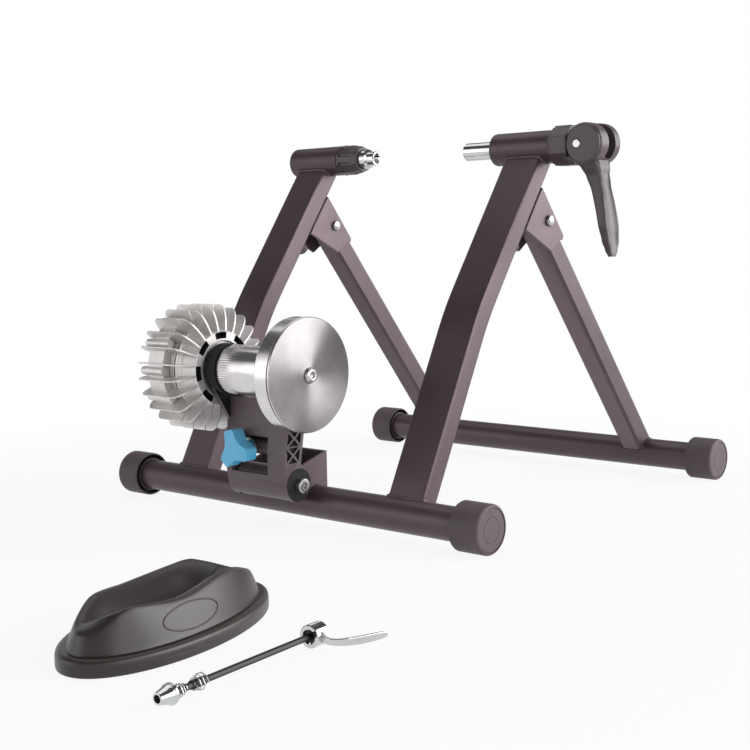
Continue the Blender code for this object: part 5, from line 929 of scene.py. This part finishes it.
def blockTop(along, across):
    # Height over the rim: the near and far crests, with the tyre's channel between them
    share = along / bodyLong
    nearness = easeIn(-block["blend"], block["blend"], across)
    crest = flowing(farCrest, share) * (1 - nearness) + flowing(nearCrest, share) * nearness
    channel = easeIn(*block["channelIn"], share) * (1 - easeIn(*block["channelOut"], share))
    floorLevel = crest - (crest - block["channel"]) * channel
    inside = (bodyWide - block["crestIn"]) * sqrt(max(1 - (0.98 * share) ** 2, 0.01))
    wall = easeIn(0.06, 1.0, min(abs(across) / inside, 1)) ** 0.9
    return floorLevel + (crest - floorLevel) * wall


def oval(long, wide, level, dent=0.0):
    # One ring of the block; a dent makes the shallow slots in the rim's near side
    ring = []
    for angle in loop(block["sides"]):
        along, across = long * cos(angle), wide * sin(angle)
        if dent and sin(angle) > 0 and any(a < cos(angle) < b for a, b in block["dents"]):
            across -= dent
        ring.append(Vector((across, along, level(along, across) if callable(level) else level)))
    return ring


def bodyHalves(inset):
    # The body's half length and half width: its walls stand in less at the ends than at the sides
    return bodyLong - block["endShare"] * inset, bodyWide - inset


def bodyOval(inset, share):
    return oval(*bodyHalves(inset), lambda along, across: rim + share * blockTop(along, across))


# The rim from its hollow underside over the edge to the ledge: inset, height and dent
rimRings = ((0.009, 0.0095, 0), (0.003, 0.0095, 0), (0.003, 0.0, 0), (0.0012, 0.0, 0), (0.0003, 0.0005, 0),
            (0, 0.0014, 0), (0, 0.0052, 0), (0, 0.0054, 0.0003), (0, 0.0062, 0.0003), (0, 0.0064, 0),
            (0.0002, rim - 0.0034, 0), (0.0007, rim - 0.0019, 0), (0.0019, rim - 0.0007, 0), (0.0036, rim - 0.0001, 0),
            (0.0056, rim, 0))
rings = [oval(block["long"] - inset, block["wide"] - inset, level, dent) for inset, level, dent in rimRings]
rings.append(oval(*bodyHalves(0.0002), rim - 0.0001))
rings += [bodyOval(inset, share) for inset, share in wallRings]
last = wallRings[-1][0]
for i in range(1, block["steps"] + 1):
    rings.append(bodyOval(last + (bodyWide - 0.0006 - last) * i / block["steps"], 1))
blockPlace = Matrix.Translation(at(block["x"], block["y"])) @ Matrix.Rotation(radians(block["turn"]), 4, "Z")
blockPiece = moved(lofted("riserBlockFine", rings), blockPlace)
standIn(blockPiece, blockPlastic, "riser_block", smooth=60)
# The raised oval line on the near wall, set on the wall's own curve
mark = {"middle": -0.0250, "half": 0.0280, "height": 0.0123, "tall": 0.0087, "line": 0.0006}
outline = []
for angle in loop(96):
    along = mark["middle"] + mark["half"] * cos(angle)
    level = mark["height"] + mark["tall"] * sin(angle)
    share = level / flowing(nearCrest, along / bodyLong)
    inset = 0.0
    for one, two in zip(wallRings, wallRings[1:]):
        if one[1] <= share <= two[1]:
            inset = one[0] + (two[0] - one[0]) * (share - one[1]) / (two[1] - one[1])
    long, wide = bodyHalves(inset)
    across = wide * sqrt(1 - (along / long) ** 2)
    outline.append(blockPlace @ Vector((across, along, rim + level)))
bead("blockOval", outline, bodyOf["riser_block"], mark["line"], closed=True, ripple=0, finish=blockPlastic)
print("block built")


# Spare skewer, made along Y from the nut's tip and laid on the floor

skewer = {"x": 0.3112, "y": -0.4330, "z": 0.0085, "turn": 4.5, "eyeAt": 0.15579, "eye": 0.0043, "eyeHalf": 0.0034,
          "pin": 0.0021, "pinHalf": 0.0064}
skewerTurn = Matrix.Rotation(radians(skewer["turn"]), 4, "Z")
laid = Matrix.Translation(at(skewer["x"], skewer["y"], skewer["z"])) @ skewerTurn
nutProfile = [(0.0027, 0), (0.0038, 0), (0.0041, 0.0005), (0.0057, 0.0066), (0.0066, 0.0092), (0.0066, 0.0100),
              (0.0072, 0.0103), (0.0072, 0.0120), (0.0064, 0.0132), (0.0052, 0.0145), (0.0027, 0.0145)]
nut = moved(spun("skewerNutTurned", eased(nutProfile, 0.0004, 2), (0, 0, 0), axis="Y"), laid)
standIn(nut, chromePlate, "skewer_nut")
# The lever's route from its eye: x, y, thickness and half height
route = ((0.0016, -0.0008, 0.0044, 0.0030), (0.0060, -0.0034, 0.0042, 0.0030), (0.0110, -0.0058, 0.0036, 0.0027),
         (0.0165, -0.0062, 0.0030, 0.0025), (0.0222, -0.0036, 0.0026, 0.0027), (0.0274, 0.0022, 0.0024, 0.0030),
         (0.0317, 0.0100, 0.0024, 0.0031), (0.0350, 0.0186, 0.0023, 0.0030), (0.0374, 0.0262, 0.0020, 0.0027),
         (0.0388, 0.0310, 0.0014, 0.0020))
eye = Vector((0, skewer["eyeAt"], 0))
rings = []
for i, (x, y, thick, tall) in enumerate(route):
    before, after = Vector(route[max(i - 1, 0)][:2]), Vector(route[min(i + 1, len(route) - 1)][:2])
    along = (after - before).normalized()
    across = Vector((along.y, -along.x, 0))
    centre = eye + Vector((x, y, -0.0016 * easeIn(0.004, 0.014, x)))
    rings.append([centre + across * u + Vector((0, 0, v)) for u, v in around(thick, 2 * tall, thick * 0.42)])
skewerBlade = lofted("skewerBlade", rings)
smoother = skewerBlade.modifiers.new("smoother", "SUBSURF")
smoother.levels = 1
baked(skewerBlade)
eyeProfile = pipe(0, skewer["eye"], -skewer["eyeHalf"], skewer["eyeHalf"])
eyePiece = spun("skewerEye", eased(eyeProfile, 0.0005), eye, axis="Z", sides=48)
pinProfile = pipe(0, skewer["pin"], -skewer["pinHalf"], skewer["pinHalf"])
pinPiece = spun("skewerPin", eased(pinProfile, 0.0003), eye, axis="Z", sides=32)
standIn(moved(merged(skewerBlade, eyePiece, pinPiece), laid), chromePlate, "skewer_lever", smooth=45)
print("skewer built")


# The other pieces keep the frame's shape, with their edges rounded by what the process leaves

for side in ("left", "right"):
    for part in ("leg", "hinge_bracket", "strut"):
        softened(f"{side}_{part}")
softened("unit_bracket", 0.0006)
armPiece = softened("unit_arm", 0.0006)
armDark = {"neckRight": -0.0275, "neckRadius": 0.0262, "pocketLeft": 0.0355, "pocketRight": 0.0404,
           "pocketLow": 0.058, "pocketHigh": 0.128}


def inArmShade(polygon):
    # The neck's ring and the pocket behind the ribs take the flat black of the painted shade
    spot = polygon.center - at()
    neck = (spot.x < armDark["neckRight"]
            and hypot(spot.y - unit["y"], spot.z - unit["z"]) < armDark["neckRadius"])
    pocket = (armDark["pocketLeft"] < spot.x < armDark["pocketRight"]
              and armDark["pocketLow"] < spot.z < armDark["pocketHigh"] and spot.y < 0)
    return neck or pocket


refinish(armPiece, slotShade, inArmShade)
# A slanted lip in flat black is painted shade at the top of the arm's window
window = {"left": -0.0345, "right": 0.0185, "low": 0.0862, "high": 0.0950, "lowFront": -0.0355, "lowBack": -0.0335,
          "highFront": -0.0415, "highBack": -0.0395}
outline = [(middle.y + window["lowFront"], window["low"]), (middle.y + window["lowBack"], window["low"]),
           (middle.y + window["highBack"], window["high"]), (middle.y + window["highFront"], window["high"])]
windowLip = prism("windowLip", outline, middle.x + window["left"], middle.x + window["right"])
dress(windowLip, slotShade, bodyOf["unit_arm"])
# A thin flat-black ring under the pivot bolt's head, in the black used for painted shade
seat = {"y": -0.030, "z": 0.0454, "hole": 0.0078, "radius": 0.0162, "face": 0.0412, "thick": 0.0005, "edge": 0.0002}
profile = pipe(seat["hole"], seat["radius"], seat["face"], seat["face"] + seat["thick"])
dress(spun("boltSeat", eased(profile, seat["edge"]), at(0, seat["y"], seat["z"]), sides=64),
      slotShade, bodyOf["unit_arm"])
for name in ("cam_housing", "lock_collar"):
    softened(name)
for name in ("knob_washer", "pivot_washer", "pivot_bolt", "pivot_nut", "cam_pin", "clamp_spindle", "cup_bolt",
             "skewer_housing"):
    softened(name, 0.0003)
for side in ("left", "right"):
    softened(f"{side}_hinge_bolt", 0.0003)
    softened(f"{side}_hinge_nut", 0.0003)
    softened(f"{side}_fold_buffer", 0.0006)
print("pieces softened")


# Feet: round moulded caps with a hollow rim at the open end, a seam round the end disc and a fine circle on it

feet = {"radius": 0.0234, "length": 0.032, "endWall": 0.006, "socket": 0.01655, "rimInner": 0.0218, "sleeve": 0.0181,
        "hollowDepth": 0.011, "rimRound": 0.0030, "roundSteps": 5, "disc": 0.0004, "seamInner": 0.0199,
        "seamOuter": 0.0205, "seamDepth": 0.0013, "circleInner": 0.0114, "circleOuter": 0.0119, "circleDepth": 0.0004,
        "nearEnd": 0.250, "farEnd": 0.2525}


def footPiece(name, side, row, outer):
    inner = outer - feet["length"]
    hollowEnd = inner + feet["hollowDepth"]
    face = outer - feet["disc"]
    circleFoot, seamFoot = face - feet["circleDepth"], outer - feet["seamDepth"]
    profile = [
        (0, face), (feet["circleInner"], face), (feet["circleInner"], circleFoot), (feet["circleOuter"], circleFoot),
        (feet["circleOuter"], face), (feet["seamInner"], face - 0.0002), (feet["seamInner"], seamFoot),
        (feet["seamOuter"], seamFoot), (feet["seamOuter"], outer - 0.0001)]
    for i in range(feet["roundSteps"] + 1):
        angle = radians(90 - 90 * i / feet["roundSteps"])
        profile.append((feet["radius"] - feet["rimRound"] + feet["rimRound"] * cos(angle),
                        outer - feet["rimRound"] + feet["rimRound"] * sin(angle)))
    profile += [
        (feet["radius"], inner + 0.0010), (feet["radius"] - 0.0006, inner), (feet["rimInner"], inner),
        (feet["rimInner"] - 0.0004, hollowEnd), (feet["sleeve"], hollowEnd), (feet["sleeve"], inner + 0.0008),
        (feet["socket"], inner + 0.0008), (feet["socket"], outer - feet["endWall"]), (0, outer - feet["endWall"])]
    centre = at(0, row, farAxis.z)
    piece = standIn(spun(name + "Round", [(radius, side * along) for radius, along in profile], centre, sides=80),
                    footRubber, name, smooth=38)

    def inHollow(polygon):
        across = polygon.center - centre
        radius = hypot(across.y, across.z)
        return feet["sleeve"] - 0.0002 < radius < feet["rimInner"] and abs(across.x) < hollowEnd + 0.0002

    # The hollow behind the rim is painted black as shade
    refinish(piece, slotShade, inHollow)


for row, place, end in (("near", 0, feet["nearEnd"]), ("far", farAxis.y, feet["farEnd"])):
    for side, way in (("left", -1), ("right", 1)):
        footPiece(f"{row}_{side}_foot", way, place, end)
print("feet built")

low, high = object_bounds()
